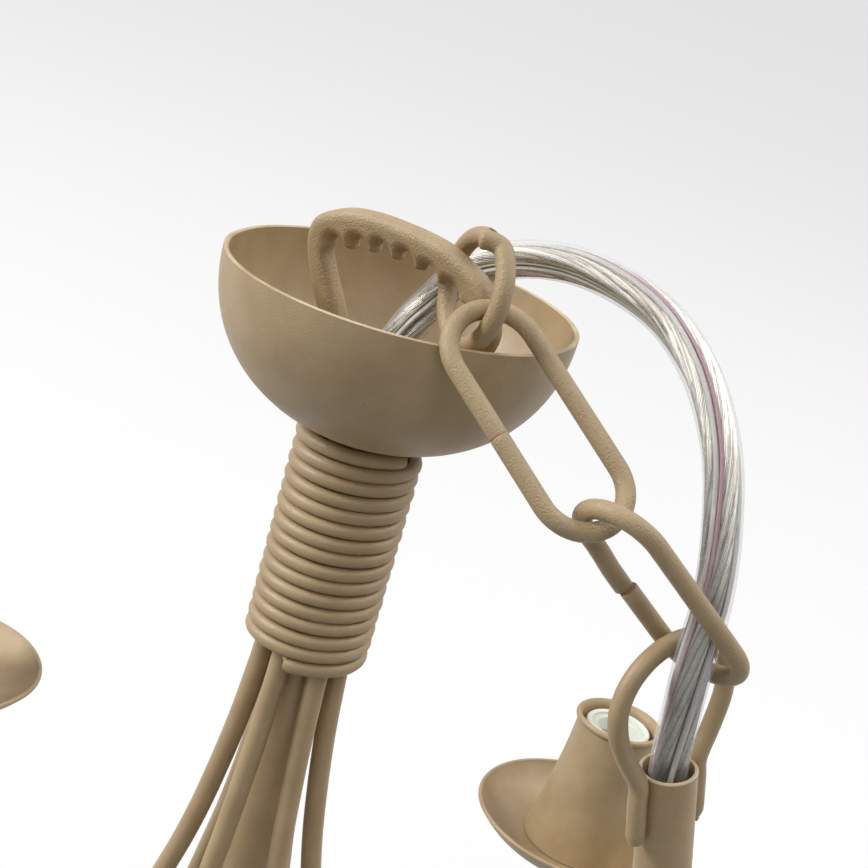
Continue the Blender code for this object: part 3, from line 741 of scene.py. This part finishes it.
class CHANDELIER_OT_lamps(bpy.types.Operator):
    """Spin one saucer, candle cup and lampholder, and copy them to every arm"""
    bl_idname = "chandelier.lamps"
    bl_label = "Lamps"

    def execute(self, context):
        sizes = context.scene.chandelier_lamp
        reach = context.scene.chandelier_body.arm_reach
        saucer = self.spin_saucer(sizes)
        cup = self.spin_cup(sizes)
        holder = self.mould_holder(sizes)
        kinds = ((saucer, "saucer_spun_", "saucer_", "coated_steel"),
                 (cup, "candle_cup_drawn_", "candle_cup_", "coated_steel"),
                 (holder, "lampholder_moulded_", "lampholder_", "lampholder_plastic"))
        for index in range(sizes.count):
            out = arm_direction(index, sizes.count)
            seat = body_level(-SAUCER_DROP) @ Matrix.Translation(out * reach)
            seat = seat @ Matrix.Rotation(math.atan2(out.y, out.x), 4, "Z")
            for first, made, stands_for, slot in kinds:
                piece = copy_piece(first, made + str(index + 1), seat)
                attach(piece, "body")
                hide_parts(stands_for + str(index + 1))
        for first in (saucer, cup, holder):
            discard(first)
        return {"FINISHED"}

    def spin_saucer(self, sizes):
        half, base = 0.6 * MM, sizes.cup_base
        dish = sizes.saucer_radius - base
        line = []
        for step in range(17):
            out = step / 16
            line.append((base + dish * out, 8 * MM * out ** 2.6))
        under = [(r + half * 0.5 * i / 16, z - half * (1 - 0.35 * i / 16))
                 for i, (r, z) in enumerate(line)]
        upper = [(r - half * i / 16, z + half * (1 - 0.35 * i / 16))
                 for i, (r, z) in enumerate(line)]
        lip_radius, lip_height = line[-1]
        lip = []
        for step in range(1, 7):
            angle = -0.6 + math.pi * 1.05 * step / 7
            lip.append((lip_radius - 0.05 * MM + 0.75 * MM * math.cos(angle),
                        lip_height + 0.75 * MM * math.sin(angle)))
        profile = [(2.35 * MM, -half)] + under + lip + upper[::-1] + [(2.35 * MM, half)]
        saucer = raise_rings("saucer_spun", profile + profile[:1], 96, None, 60)
        dress(saucer, "body", "coated_steel", "coat")
        return saucer

    def spin_cup(self, sizes):
        low = 0.9 * MM
        top = low + sizes.cup_height
        wall, roll = 1.2 * MM, 1.0 * MM
        outer = []
        for step in range(15):
            up = step / 14
            flare = (1 - up) ** 1.55
            outer.append((sizes.cup_rim + (sizes.cup_base - sizes.cup_rim) * flare,
                          low + (sizes.cup_height - 2 * roll) * up))
        bead = []
        for step in range(9):
            angle = -math.pi / 2 + math.pi * 1.15 * step / 8
            bead.append((sizes.cup_rim + roll * 0.1 + roll * 0.9 * math.cos(angle),
                         top - roll + roll * math.sin(angle)))
        inner = [(r - wall, z) for r, z in outer[::-1]]
        profile = [(outer[0][0] - wall, low)] + outer + bead + inner
        cup = raise_rings("candle_cup_drawn", profile + profile[:1], 80, None, 50)
        dress(cup, "body", "coated_steel", "coat")
        return cup

    def mould_holder(self, sizes):
        low = 0.9 * MM + sizes.cup_height - 34 * MM
        top = low + 32 * MM
        outer, body, bore = sizes.holder_radius, 9.2 * MM, 6.2 * MM
        edge = 0.4 * MM
        profile = [(0, top - 22 * MM), (bore, top - 22 * MM)]
        # Coarse moulded thread that grips the lamp's base
        for turn in range(7):
            height = top - 20 * MM + turn * 2.4 * MM
            profile += [(bore, height), (bore - 0.5 * MM, height + 0.6 * MM),
                        (bore - 0.5 * MM, height + 1.0 * MM), (bore, height + 1.6 * MM)]
        profile += [(bore, top - 1.4 * MM), (bore + 0.3 * MM, top - 1 * MM),
                    (outer - 1.8 * MM, top - 1 * MM), (outer - 1.7 * MM, top - edge / 2),
                    (outer - 1.4 * MM, top), (outer - edge, top), (outer, top - edge),
                    (outer, top - 6 * MM), (body, top - 6.4 * MM), (body, low + edge),
                    (body - edge, low), (0, low)]
        holder = raise_rings("lampholder_moulded", profile, 64, None, 40)
        dress(holder, "body", "lampholder_plastic", "holder", "core")
        finish_faces(holder, 1, lambda spot, normal: spot.xy.length < outer - 1.75 * MM
                     and spot.z > top - 23 * MM)
        return holder


# Pieces of the suspension

HANGER_OUTER_SHARES = (
    (-0.243, 0.209), (-0.273, 0.341), (-0.314, 0.496), (-0.367, 0.616), (-0.406, 0.754),
    (-0.411, 0.842), (-0.380, 0.922), (-0.297, 0.978), (-0.178, 1.029), (-0.027, 1.058),
    (0.109, 1.068), (0.243, 1.071), (0.375, 1.061), (0.494, 1.024), (0.579, 0.983),
    (0.625, 0.932), (0.655, 0.876), (0.676, 0.810), (0.681, 0.754), (0.655, 0.676),
    (0.579, 0.552), (0.404, 0.360), (0.243, 0.209),
)
HANGER_INNER_SHARES = (
    (0.122, 0.209), (0.316, 0.428), (0.501, 0.613), (0.589, 0.715), (0.606, 0.788),
    (0.589, 0.832), (0.550, 0.852), (0.489, 0.864), (0.372, 0.895), (0.243, 0.910),
    (0.105, 0.908), (-0.027, 0.891), (-0.161, 0.856), (-0.253, 0.847), (-0.292, 0.818),
    (-0.299, 0.769), (-0.265, 0.681), (-0.190, 0.518), (-0.146, 0.353), (-0.117, 0.209),
)
NOTCH_SHARES = (
    (-0.238, 0.876), (-0.100, 0.922), (0.029, 0.949), (0.165, 0.961), (0.297, 0.949),
    (0.423, 0.922),
)


class CHANDELIER_OT_hanger(bpy.types.Operator):
    """Cast the notched hanger and push the cord grip into its hub"""
    bl_idname = "chandelier.hanger"
    bl_label = "Hanger"

    def execute(self, context):
        sizes = context.scene.chandelier_suspension
        rise = sizes.hanger_rise
        upright = Matrix.Rotation(-math.pi / 2, 4, "X")
        bar = self.draw_plate(sizes, rise)
        profile = in_mm((0, 7.1), (8.1, 7.1), (8.5, 7.5), (8.5, 10.4), (7.8, 11.3), (0, 11.3))
        hub = raise_rings("hub", profile, 64, upright)
        cut(bar, hub, "UNION")
        bore = raise_rings("bore", in_mm((0, 2), (5.0, 2), (5.0, 22), (0, 22)), 48, upright)
        cut(bar, bore)
        # Each notch flares towards both faces, so that the arch keeps its round underside
        flare = [(1.65, 0), (1.7, 0.5), (1.95, 1.0), (2.35, 1.4), (2.8, 1.7), (3.15, 1.9),
                 (3.7, 2.1), (4.4, 2.4)]
        flare = [(r, -z) for r, z in flare[:0:-1]] + flare
        profile = in_mm((0, -2.4), *flare, (0, 2.4))
        for s, h in NOTCH_SHARES:
            middle = Vector((s, h, 0)) * rise - Vector((0, 1.65 * MM, 0))
            cut(bar, raise_rings("notch", profile, 40, Matrix.Translation(middle)))
        # Sand casting and the coat round every edge off
        apply_modifier(bar, "REMESH", mode="VOXEL", voxel_size=0.3 * MM, adaptivity=0)
        apply_modifier(bar, "SMOOTH", factor=0.5, iterations=9)
        settle(bar, hanger_frame(), 80)
        dress(bar, "body", "coated_steel", "coarse")
        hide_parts("hanger")
        profile = in_mm((4.05, 7.5), (4.6, 7.5), (4.6, 11.3), (4.9, 11.5), (4.7, 12.3),
                        (4.25, 12.8), (4.0, 12.6), (4.05, 7.5))
        grip = raise_rings("cord_grip_moulded", profile, 48, hanger_frame() @ upright, 50)
        dress(grip, "body", "grip_plastic", "holder")
        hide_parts("cord_grip")
        return {"FINISHED"}

    def draw_plate(self, sizes, rise):
        """The flat outline drawn as a closed curve, thickened, with its edges rounded."""
        corners = [Vector((s, h, 0)) * rise for s, h in HANGER_OUTER_SHARES]
        line = smooth_path(corners, 1.5 * MM)
        corners = [Vector((s, h, 0)) * rise for s, h in HANGER_INNER_SHARES]
        line += smooth_path(corners, 1.5 * MM)
        curve, _ = draw_line("hanger_cast", line, True)
        curve.dimensions = "2D"
        curve.fill_mode = "BOTH"
        curve.extrude = sizes.hanger_depth / 2 - sizes.hanger_edge
        curve.bevel_depth = sizes.hanger_edge
        curve.bevel_resolution = 4
        # Smoothing the cast surface draws it in by about 0.2 mm, so it starts that much fuller
        curve.offset = 0.2 * MM - sizes.hanger_edge
        bpy.ops.object.convert(target="MESH")
        plate = bpy.context.object
        settle(plate)
        return plate


def link_bend(end, turn_from):
    points = []
    for step in range(BEND_STEPS + 1):
        angle = turn_from + math.pi * step / BEND_STEPS
        points.append(Vector((end * LINK_HALF + LINK_BEND * math.cos(angle),
                              LINK_BEND * math.sin(angle), 0)))
    return points


class CHANDELIER_OT_chain(bpy.types.Operator):
    """Bend the open ring, the welded link and the cut link"""
    bl_idname = "chandelier.chain"
    bl_label = "Ring and links"

    def execute(self, context):
        wire = context.scene.chandelier_suspension.chain_wire / 2
        # One end stops at the top. The other was prised open and stands aside, rounded over
        angles = [math.radians(3 + 327 * i / 88) for i in range(89)]
        points = [Vector((math.cos(a), math.sin(a), 0)) * RING_RADIUS for a in angles]
        for spot in points[:30]:
            high = max(0, spot.x / RING_RADIUS - 0.4) / 0.6
            spot.x -= 1.05 * MM * high ** 2
        aside = [(8.85, -4.25, 0.32), (9.1, -3.6, 0.95), (9.15, -3.05, 1.75), (9.08, -2.65, 2.6),
                 (9.0, -2.5, 3.0)]
        tip = [Vector(spot) * MM for spot in aside]
        onward = (tip[-1] - tip[-2]).normalized()
        tip += [tip[-1] + onward * step * MM for step in (0.35, 0.6, 0.72)]
        path = points + smooth_path([points[-1]] + tip[:5], 0.4 * MM)[1:] + tip[5:]
        swell = [0.93] + [1.0] * (len(path) - 4) + [0.92, 0.72, 0.4]
        ring = draw_wire("c_ring_bent", path, wire, 7, swell=swell)
        settle(ring, ring_frame(), 50)
        dress(ring, "ring", "coated_steel", "coarse", "bare")
        # A chip in the coat on top of the end that stands behind
        chip = ring_frame() @ Vector((10.4 * MM, 1.3 * MM, 0.3 * MM))
        finish_faces(ring, 1, lambda spot, normal: (spot - chip).length < 0.5 * MM)
        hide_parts("c_ring")

        far, near = link_bend(1, -math.pi / 2), link_bend(-1, math.pi / 2)
        seam = [Vector((x * MM, LINK_BEND, 0))
                for x in (4, 1.2, 0.32, 0.14, -0.02, -0.2, -1.2, -5)]
        swell = [1.0] * len(far) + [1, 1, 1, 0.95, 0.93, 0.995, 1, 1] + [1.0] * len(near)
        link = draw_wire("chain_link_1_bent", far + seam + near, wire, 7, True, swell)
        settle(link, link_frame((28.34, -36.18, 274.91), (0.725, -0.403, -0.558),
                                (-0.665, -0.620, -0.416)), 28)
        dress(link, "link_1", "coated_steel", "coarse")
        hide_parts("chain_link_1")

        side, shift = Vector((0, -LINK_BEND, 0)), Vector((0, -0.9 * MM, 0))
        start = [side + Vector((x * MM, 0, 0)) for x in (0.2, 0.35, 3, 8)]
        stop = [side + Vector((x * MM, 0, 0)) + shift * share for x, share in
                ((-11, 0), (-8, 0.35), (-5, 0.85), (-0.35, 1), (-0.2, 1))]
        path = start + far + near + stop
        swell = [0.93] + [1.0] * (len(path) - 2) + [0.93]
        link = draw_wire("chain_link_2_bent", path, wire, 7, False, swell)
        settle(link, link_frame((56.33, -40.34, 252.9), (0.700, 0.309, -0.644),
                                (0.622, -0.707, 0.337)), 50)
        dress(link, "link_2", "coated_steel", "coarse")
        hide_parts("chain_link_2")
        return {"FINISHED"}


BAIL_SHOULDER_SHARES = ((0, -0.19), (0, -0.02), (0.45, 0.174), (0.89, 0.394), (1, 0.568))


class CHANDELIER_OT_stem(bpy.types.Operator):
    """Bend the bail and draw the stem's tube"""
    bl_idname = "chandelier.stem"
    bl_label = "Stem and bail"

    def execute(self, context):
        sizes = context.scene.chandelier_suspension
        place, radius, wire = stem_frame(), sizes.stem_radius, sizes.bail_wire / 2
        foot, width, height = radius + wire + 0.05 * MM, 12.7 * MM, 25.9 * MM
        side = [Vector((foot, 0, -13 * MM))]
        side += [Vector((foot + (width - foot) * out, 0, height * up))
                 for out, up in BAIL_SHOULDER_SHARES]
        crown = height * BAIL_SHOULDER_SHARES[-1][1]
        for step in range(1, 6):
            angle = math.pi / 2 * step / 6
            side.append(Vector((width * math.cos(angle), 0,
                                crown + (height - crown) * math.sin(angle))))
        other = [Vector((-spot.x, 0, spot.z)) for spot in reversed(side)]
        path = smooth_path(side + [Vector((0, 0, height))] + other, 1.2 * MM)
        swell = [1.0] * len(path)
        for i, share in enumerate((0.72, 0.97)):
            swell[i] = swell[-1 - i] = share
        bail = draw_wire("stem_bail_bent", path, wire, 7, swell=swell)
        settle(bail, place, 50)
        dress(bail, "suspension", "coated_steel", "coat")
        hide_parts("stem_bail")
        # A drip of coat that ran off the far foot and set
        drip = in_mm((0, 0), (0.35, -0.1), (0.5, -0.6), (0.42, -1.2), (0.55, -1.7), (0.3, -2.2),
                     (0, -2.3))
        spot = place @ Matrix.Translation((-foot - 0.7 * MM, 0, -12.6 * MM))
        drop = raise_rings("coat_drip", drip, 20, spot, 80)
        dress(drop, "suspension", "coated_steel", "coat")
        edge, inner, length = 0.22 * MM, radius - 0.75 * MM, sizes.stem_length
        profile = [(radius - edge, 0), (radius, -edge), (radius, -4 * MM),
                   (radius, -length + edge), (radius - edge, -length), (inner, -length),
                   (inner, -4 * MM), (inner, -edge), (inner + edge / 2, 0), (radius - edge, 0)]
        tube = raise_rings("stem_tube_drawn", profile, 72, place, 40)
        dress(tube, "suspension", "coated_steel", "coat", "edge")
        # The mouth's end faces take the lighter edge finish, a painted highlight
        mouth = place.translation
        finish_faces(tube, 1, lambda spot, normal: (spot - mouth).length < radius
                     and abs(normal.dot(place.col[2].xyz)) > 0.4)
        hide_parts("stem_tube")
        return {"FINISHED"}


class CHANDELIER_OT_canopy(bpy.types.Operator):
    """Spin the ceiling canopy and fit its collar, screw, crossbar and nut"""
    bl_idname = "chandelier.canopy"
    bl_label = "Ceiling canopy"

    def execute(self, context):
        sizes = context.scene.chandelier_suspension
        place = stem_frame()
        rim = -sizes.stem_length - 5.5 * MM
        hole, wall = sizes.stem_radius + 0.3 * MM, 1.0 * MM
        radius, depth = 48 * MM, 24 * MM
        shares = ((0, 1), (0.33, 0.94), (0.66, 0.75), (0.88, 0.46), (0.98, 0.17), (1, 0))
        spots = smooth_path([Vector((out, 0, up)) for out, up in shares], 0.06)
        outer = [(hole + (radius - hole) * s.x, rim + depth * s.z) for s in spots]
        inner = [(hole + (radius - wall - hole) * s.x, rim + (depth - wall) * s.z) for s in spots]
        edge = [(radius - wall * share, rim - wall * 0.12) for share in (0.25, 0.75)]
        profile = outer + edge + inner[::-1]
        canopy = raise_rings("ceiling_canopy_spun", profile + profile[:1], 112, place, 50)
        dress(canopy, "canopy", "coated_steel", "coat")
        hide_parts("ceiling_canopy")
        low = rim + depth + 0.3 * MM
        shares = ((8.6, 0), (9, 0.4), (9, 7.6), (8.7, 8.6), (8.0, 9.0), (5.6, 9.0), (5.6, 0))
        profile = [(r * MM, low + z * MM) for r, z in shares]
        collar = raise_rings("canopy_collar_turned", profile + profile[:1], 64, place, 40)
        dress(collar, "canopy", "coated_steel", "coat")
        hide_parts("canopy_collar")
        self.fit_screw(place @ Matrix.Translation((0, 0, low + 4.5 * MM)))
        self.fit_bar(place @ Matrix.Translation((0, 0, rim + 6 * MM)), hole)
        return {"FINISHED"}

    def fit_screw(self, place):
        profile = in_mm((0, 12.3), (1.9, 12.3), (2.4, 12.0), (2.6, 11.5), (2.6, 9.3), (1.4, 9.3),
                        (1.4, 5.9), (1.1, 5.6), (0, 5.6))
        screw = raise_rings("set_screw_turned", profile, 32)
        deselect()
        bpy.ops.mesh.primitive_cube_add(size=1, location=(0, 0, 12.2 * MM))
        slot = bpy.context.object
        slot.scale = (7 * MM, 0.7 * MM, 1.8 * MM)
        cut(screw, slot)
        settle(screw, place @ Matrix.Rotation(math.pi / 2, 4, "X"), 30)
        dress(screw, "canopy", "zinc_steel", "zinc")
        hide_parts("set_screw")

    def fit_bar(self, place, hole):
        deselect()
        bpy.ops.mesh.primitive_cube_add(size=1)
        bar = bpy.context.object
        bar.name = bar.data.name = "mounting_bar_pressed"
        bar.scale = (78 * MM, 14 * MM, 1.6 * MM)
        bpy.ops.object.transform_apply(location=False, rotation=False, scale=True)
        select_edges(bar, lambda low, high: abs(low.z - high.z) > 1 * MM)
        bpy.ops.mesh.bevel(offset=5 * MM, segments=8)
        bpy.ops.mesh.select_mode(type="VERT")
        bpy.ops.object.mode_set(mode="OBJECT")
        for across, radius in ((0, hole), (-29 * MM, 2.2 * MM), (29 * MM, 2.2 * MM)):
            deselect()
            bpy.ops.mesh.primitive_cylinder_add(vertices=40, radius=radius, depth=8 * MM,
                                                location=(across, 0, 0))
            cut(bar, bpy.context.object)
        apply_modifier(bar, "BEVEL", width=0.15 * MM, segments=2, angle_limit=math.radians(50))
        settle(bar, place, 30)
        dress(bar, "suspension", "zinc_steel", "zinc")
        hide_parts("mounting_bar")
        nut = chamfered_nut("bar_nut_milled", 8.0 * MM, hole, 1.1 * MM, 4.3 * MM, place)
        dress(nut, "suspension", "zinc_steel", "zinc")
        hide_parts("bar_nut")


# The flex's route in millimetres, from the hanger's hub into the stem's mouth
FLEX_ROUTE = (
    (0.9, -1.5, 19.3), (4.8, -1.7, 28.2), (13.1, -3.2, 39.7), (27.5, -5.7, 44.7),
    (42.9, -11.6, 42.8), (52.9, -20.0, 36.5), (59.6, -28.0, 26.6), (63.2, -33.6, 15.0),
    (64.94, -37.45, 3.97), (65.31, -38.52, -6.08), (66.7, -35.3, -17.5),
)


def flex_path(spacing):
    hub, stem = hanger_frame(), stem_frame()
    start = [hub @ Vector((0, height * MM, 0)) for height in (7.4, 12.2)]
    route = [(Vector(spot) + Vector((0, 0, COIL_TOP / MM))) * MM for spot in FLEX_ROUTE]
    inside = [stem @ Vector((0, 0, -6.9 * step * MM)) for step in (0, 1, 2)]
    return smooth_path(start + route + inside, spacing)


def carried_frames(path):
    """A side vector at each point, carried along the path without twist."""
    frames = []
    side = None
    for i, spot in enumerate(path):
        run = (path[min(i + 1, len(path) - 1)] - path[max(i - 1, 0)]).normalized()
        if side is None:
            side = run.orthogonal()
        side = (side - run * side.dot(run)).normalized()
        frames.append((run, side, run.cross(side)))
    return frames


def twisted(path, frames, radius, lay, start, inner_radius=0.0, inner_lay=1.0, inner_start=0.0):
    """A helix round the path, or a helix round such a helix."""
    points = []
    walked = 0.0
    for i, (spot, (run, side, other)) in enumerate(zip(path, frames)):
        if i:
            walked += (spot - path[i - 1]).length
        turn = start + math.tau * walked / lay
        out = side * math.cos(turn) + other * math.sin(turn)
        round_it = other * math.cos(turn) - side * math.sin(turn)
        inner = inner_start + math.tau * walked / inner_lay
        points.append(spot + out * (radius + inner_radius * math.cos(inner))
                      + round_it * inner_radius * math.sin(inner))
    return points


class CHANDELIER_OT_flex(bpy.types.Operator):
    """Lay the clear flex with its three cores of twisted strands"""
    bl_idname = "chandelier.flex"
    bl_label = "Clear flex"

    def execute(self, context):
        sizes = context.scene.chandelier_suspension
        fine = flex_path(1.1 * MM)
        frames = carried_frames(fine)
        inner = []
        strands = 30
        core_out, strand_out, thread_out = 1.66 * MM, 1.36 * MM, 2.5 * MM
        for core in range(3):
            lean = math.tau * core / 3
            bundle = []
            for strand in range(strands):
                points = twisted(fine, frames, core_out, sizes.core_lay, lean, strand_out,
                                 sizes.strand_lay, math.tau * strand / strands)
                wire = draw_wire("strand", points, (0.16 + 0.02 * (strand % 2)) * MM, 1)
                wire.data.materials.append(finish("dull" if strand % 4 == 1 else "strand"))
                bundle.append(wire)
            # The solid heart of each core is painted dark grey, a painted shade that shows in the
            # gaps between the strands
            heart = twisted(fine, frames, core_out, sizes.core_lay, lean)
            heart = draw_wire("heart", heart, 1.3 * MM, 3)
            heart.data.materials.append(finish("deep"))
            bundle.append(heart)
            deselect()
            for piece in bundle:
                piece.select_set(True)
            bpy.context.view_layer.objects.active = bundle[0]
            bpy.ops.object.join()
            made = bpy.context.object
            made.name = made.data.name = "flex_core_" + str(core + 1)
            settle(made, None, 60)
            inner.append(made)
        for name, lean, radius in (("red", 0.8, 0.4), ("green", 2.9, 0.26), ("filler", 1.2, 0.5),
                                   ("filler", 3.26, 0.5), ("filler", 5.24, 0.52)):
            points = twisted(fine, frames, thread_out, sizes.core_lay, lean)
            thread = draw_wire("flex_thread_" + str(len(inner) - 2), points, radius * MM, 1)
            settle(thread, None, 60)
            dress(thread, None, "clear_flex", name)
            inner.append(thread)
        jacket = draw_wire("flex_jacket", flex_path(1.6 * MM), sizes.flex_radius, 10)
        settle(jacket, None, 60)
        dress(jacket, None, "clear_flex", "jacket")
        for piece in inner + [jacket]:
            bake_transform(piece)
        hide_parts("flex")
        return {"FINISHED"}


class CHANDELIER_OT_stage(bpy.types.Operator):
    """Set the floor, the soft lights and the camera"""
    bl_idname = "chandelier.stage"
    bl_label = "Stage"

    def execute(self, context):
        self.lay_floor(context)
        self.light_world(context)
        self.hang_lamps()
        self.set_camera(context)
        return {"FINISHED"}

    def lay_floor(self, context):
        deselect()
        bpy.ops.mesh.primitive_plane_add(size=12, location=(0, 2, -0.2 * MM))
        floor = bpy.context.object
        floor.name = floor.data.name = "floor_sweep"
        # The plane's far edge is drawn up into a wall
        select_edges(floor, lambda first, second: min(first.y, second.y) > 5)
        bpy.ops.mesh.extrude_region_move(TRANSFORM_OT_translate={"value": (0, 0, 5)})
        bpy.ops.object.mode_set(mode="OBJECT")
        apply_modifier(floor, "BEVEL", width=2, segments=12, affect="EDGES")
        bpy.ops.object.shade_smooth()
        bpy.ops.object.transform_apply(location=True, rotation=True, scale=True)
        colour = tuple(context.scene.chandelier_finish.floor)
        material, tree, shader = new_material("Paper sweep, white", Base_Color=colour,
                                              Roughness=0.9, Specular_IOR_Level=0.1)
        # The camera sees the sweep as a bright white that still holds the object's shadow
        glow = add_node(tree, "ShaderNodeEmission", {"Color": (1, 1, 1, 1), "Strength": 1.08})
        ray = add_node(tree, "ShaderNodeLightPath").outputs
        seen = either(tree, ray["Is Camera Ray"], ray["Is Glossy Ray"])
        seen = either(tree, seen, ray["Is Transmission Ray"])
        part = add_node(tree, "ShaderNodeMath", {"operation": "MULTIPLY", 1: 0.64}, {0: seen})
        # The light that it throws back up at the object is that of a grey floor
        tree.links.new(mix_colours(tree, seen, to_linear("7A7A7A"), colour),
                       shader.inputs["Base Color"])
        mix = mix_shaders(tree, part.outputs[0], shader.outputs[0], glow.outputs[0])
        tree.links.new(mix, tree.nodes["Material Output"].inputs["Surface"])
        floor.data.materials.append(material)

    def light_world(self, context):
        world = bpy.data.worlds.new("Soft room")
        context.scene.world = world
        world.use_nodes = True
        tree = world.node_tree
        tree.nodes.clear()
        room = add_node(tree, "ShaderNodeBackground", {"Color": (1, 1, 1, 1), "Strength": 0.28})
        seen = add_node(tree, "ShaderNodeBackground", {"Color": (1, 1, 1, 1), "Strength": 0.95})
        # What the metal mirrors is a bright ceiling over a dimmer room
        glow = spread(tree, object_height(tree), -0.1, 0.7, 0.3, 1.8)
        ceiling = add_node(tree, "ShaderNodeBackground", {"Color": (1, 1, 1, 1)},
                           {"Strength": glow})
        ray = add_node(tree, "ShaderNodeLightPath").outputs
        direct = either(tree, ray["Is Camera Ray"], ray["Is Transmission Ray"])
        room = mix_shaders(tree, ray["Is Glossy Ray"], room.outputs[0], ceiling.outputs[0])
        mix = mix_shaders(tree, direct, room, seen.outputs[0])
        add_node(tree, "ShaderNodeOutputWorld", None, {"Surface": mix})

    def hang_lamps(self):
        target = Vector((0.02, -0.02, 0.25))
        for name, spot, size, power in (("key", (-1.65, -0.1, 1.05), 0.8, 28),
                                        ("fill", (0.2, -1.2, 1.5), 1.2, 6),
                                        ("top", (1.0, 0.4, 1.5), 1.2, 12)):
            deselect()
            bpy.ops.object.light_add(type="AREA", location=spot)
            lamp = bpy.context.object
            lamp.name = "soft_" + name
            lamp.data.shape = "DISK"
            lamp.data.size = size
            lamp.data.energy = power
            aim = (target - Vector(spot)).to_track_quat("-Z", "Y")
            lamp.rotation_euler = aim.to_euler()

    def set_camera(self, context):
        deselect()
        bpy.ops.object.camera_add()
        camera = bpy.context.object
        camera.name = "photo_camera"
        right = Vector((0.96049, 0.08725, 0.26429))
        up = Vector((-0.27832, 0.30111, 0.91207))
        turn = Matrix((right, up, right.cross(up))).transposed()
        camera.matrix_world = Matrix.Translation((0.01279, -0.31784, 0.36043)) @ turn.to_4x4()
        camera.data.sensor_width = 36
        camera.data.lens = 36 * PHOTO_FOCAL / PHOTO_SIZE
        camera.data.clip_start = 0.01
        context.scene.camera = camera
        context.scene.view_settings.view_transform = "Standard"


class CHANDELIER_PT_pieces(bpy.types.Panel):
    """Lists the chandelier's pieces"""
    bl_idname = "CHANDELIER_PT_pieces"
    bl_label = "Chandelier"
    bl_space_type = "VIEW_3D"
    bl_region_type = "UI"
    bl_category = "Chandelier"

    def draw(self, context):
        layout = self.layout
        for settings in (context.scene.chandelier_body, context.scene.chandelier_lamp,
                         context.scene.chandelier_suspension, context.scene.chandelier_finish):
            box = layout.box()
            for name in settings.__annotations__:
                box.prop(settings, name)
        for piece in PIECES:
            layout.operator(piece.bl_idname)


PIECES = (CHANDELIER_OT_bowl, CHANDELIER_OT_coil, CHANDELIER_OT_arms, CHANDELIER_OT_centre,
          CHANDELIER_OT_lamps, CHANDELIER_OT_hanger, CHANDELIER_OT_chain, CHANDELIER_OT_stem,
          CHANDELIER_OT_canopy, CHANDELIER_OT_flex, CHANDELIER_OT_stage)
SETTINGS = {"chandelier_body": BodySettings, "chandelier_lamp": LampSettings,
            "chandelier_suspension": SuspensionSettings, "chandelier_finish": FinishSettings}


def register():
    for group in SETTINGS.values():
        bpy.utils.register_class(group)
    for name, group in SETTINGS.items():
        setattr(bpy.types.Scene, name, PointerProperty(type=group))
    for piece in PIECES + (CHANDELIER_PT_pieces,):
        bpy.utils.register_class(piece)


def unregister():
    for piece in reversed(PIECES + (CHANDELIER_PT_pieces,)):
        bpy.utils.unregister_class(piece)
    for name in SETTINGS:
        delattr(bpy.types.Scene, name)
    for group in reversed(list(SETTINGS.values())):
        bpy.utils.unregister_class(group)


def main():
    register()
    bpy.ops.chandelier.stage()
    bpy.ops.chandelier.flex()
    bpy.ops.chandelier.bowl()
    bpy.ops.chandelier.coil()
    bpy.ops.chandelier.arms()
    bpy.ops.chandelier.centre()
    bpy.ops.chandelier.lamps()
    bpy.ops.chandelier.hanger()
    bpy.ops.chandelier.chain()
    bpy.ops.chandelier.stem()
    bpy.ops.chandelier.canopy()


if __name__ == "__main__":
    main()
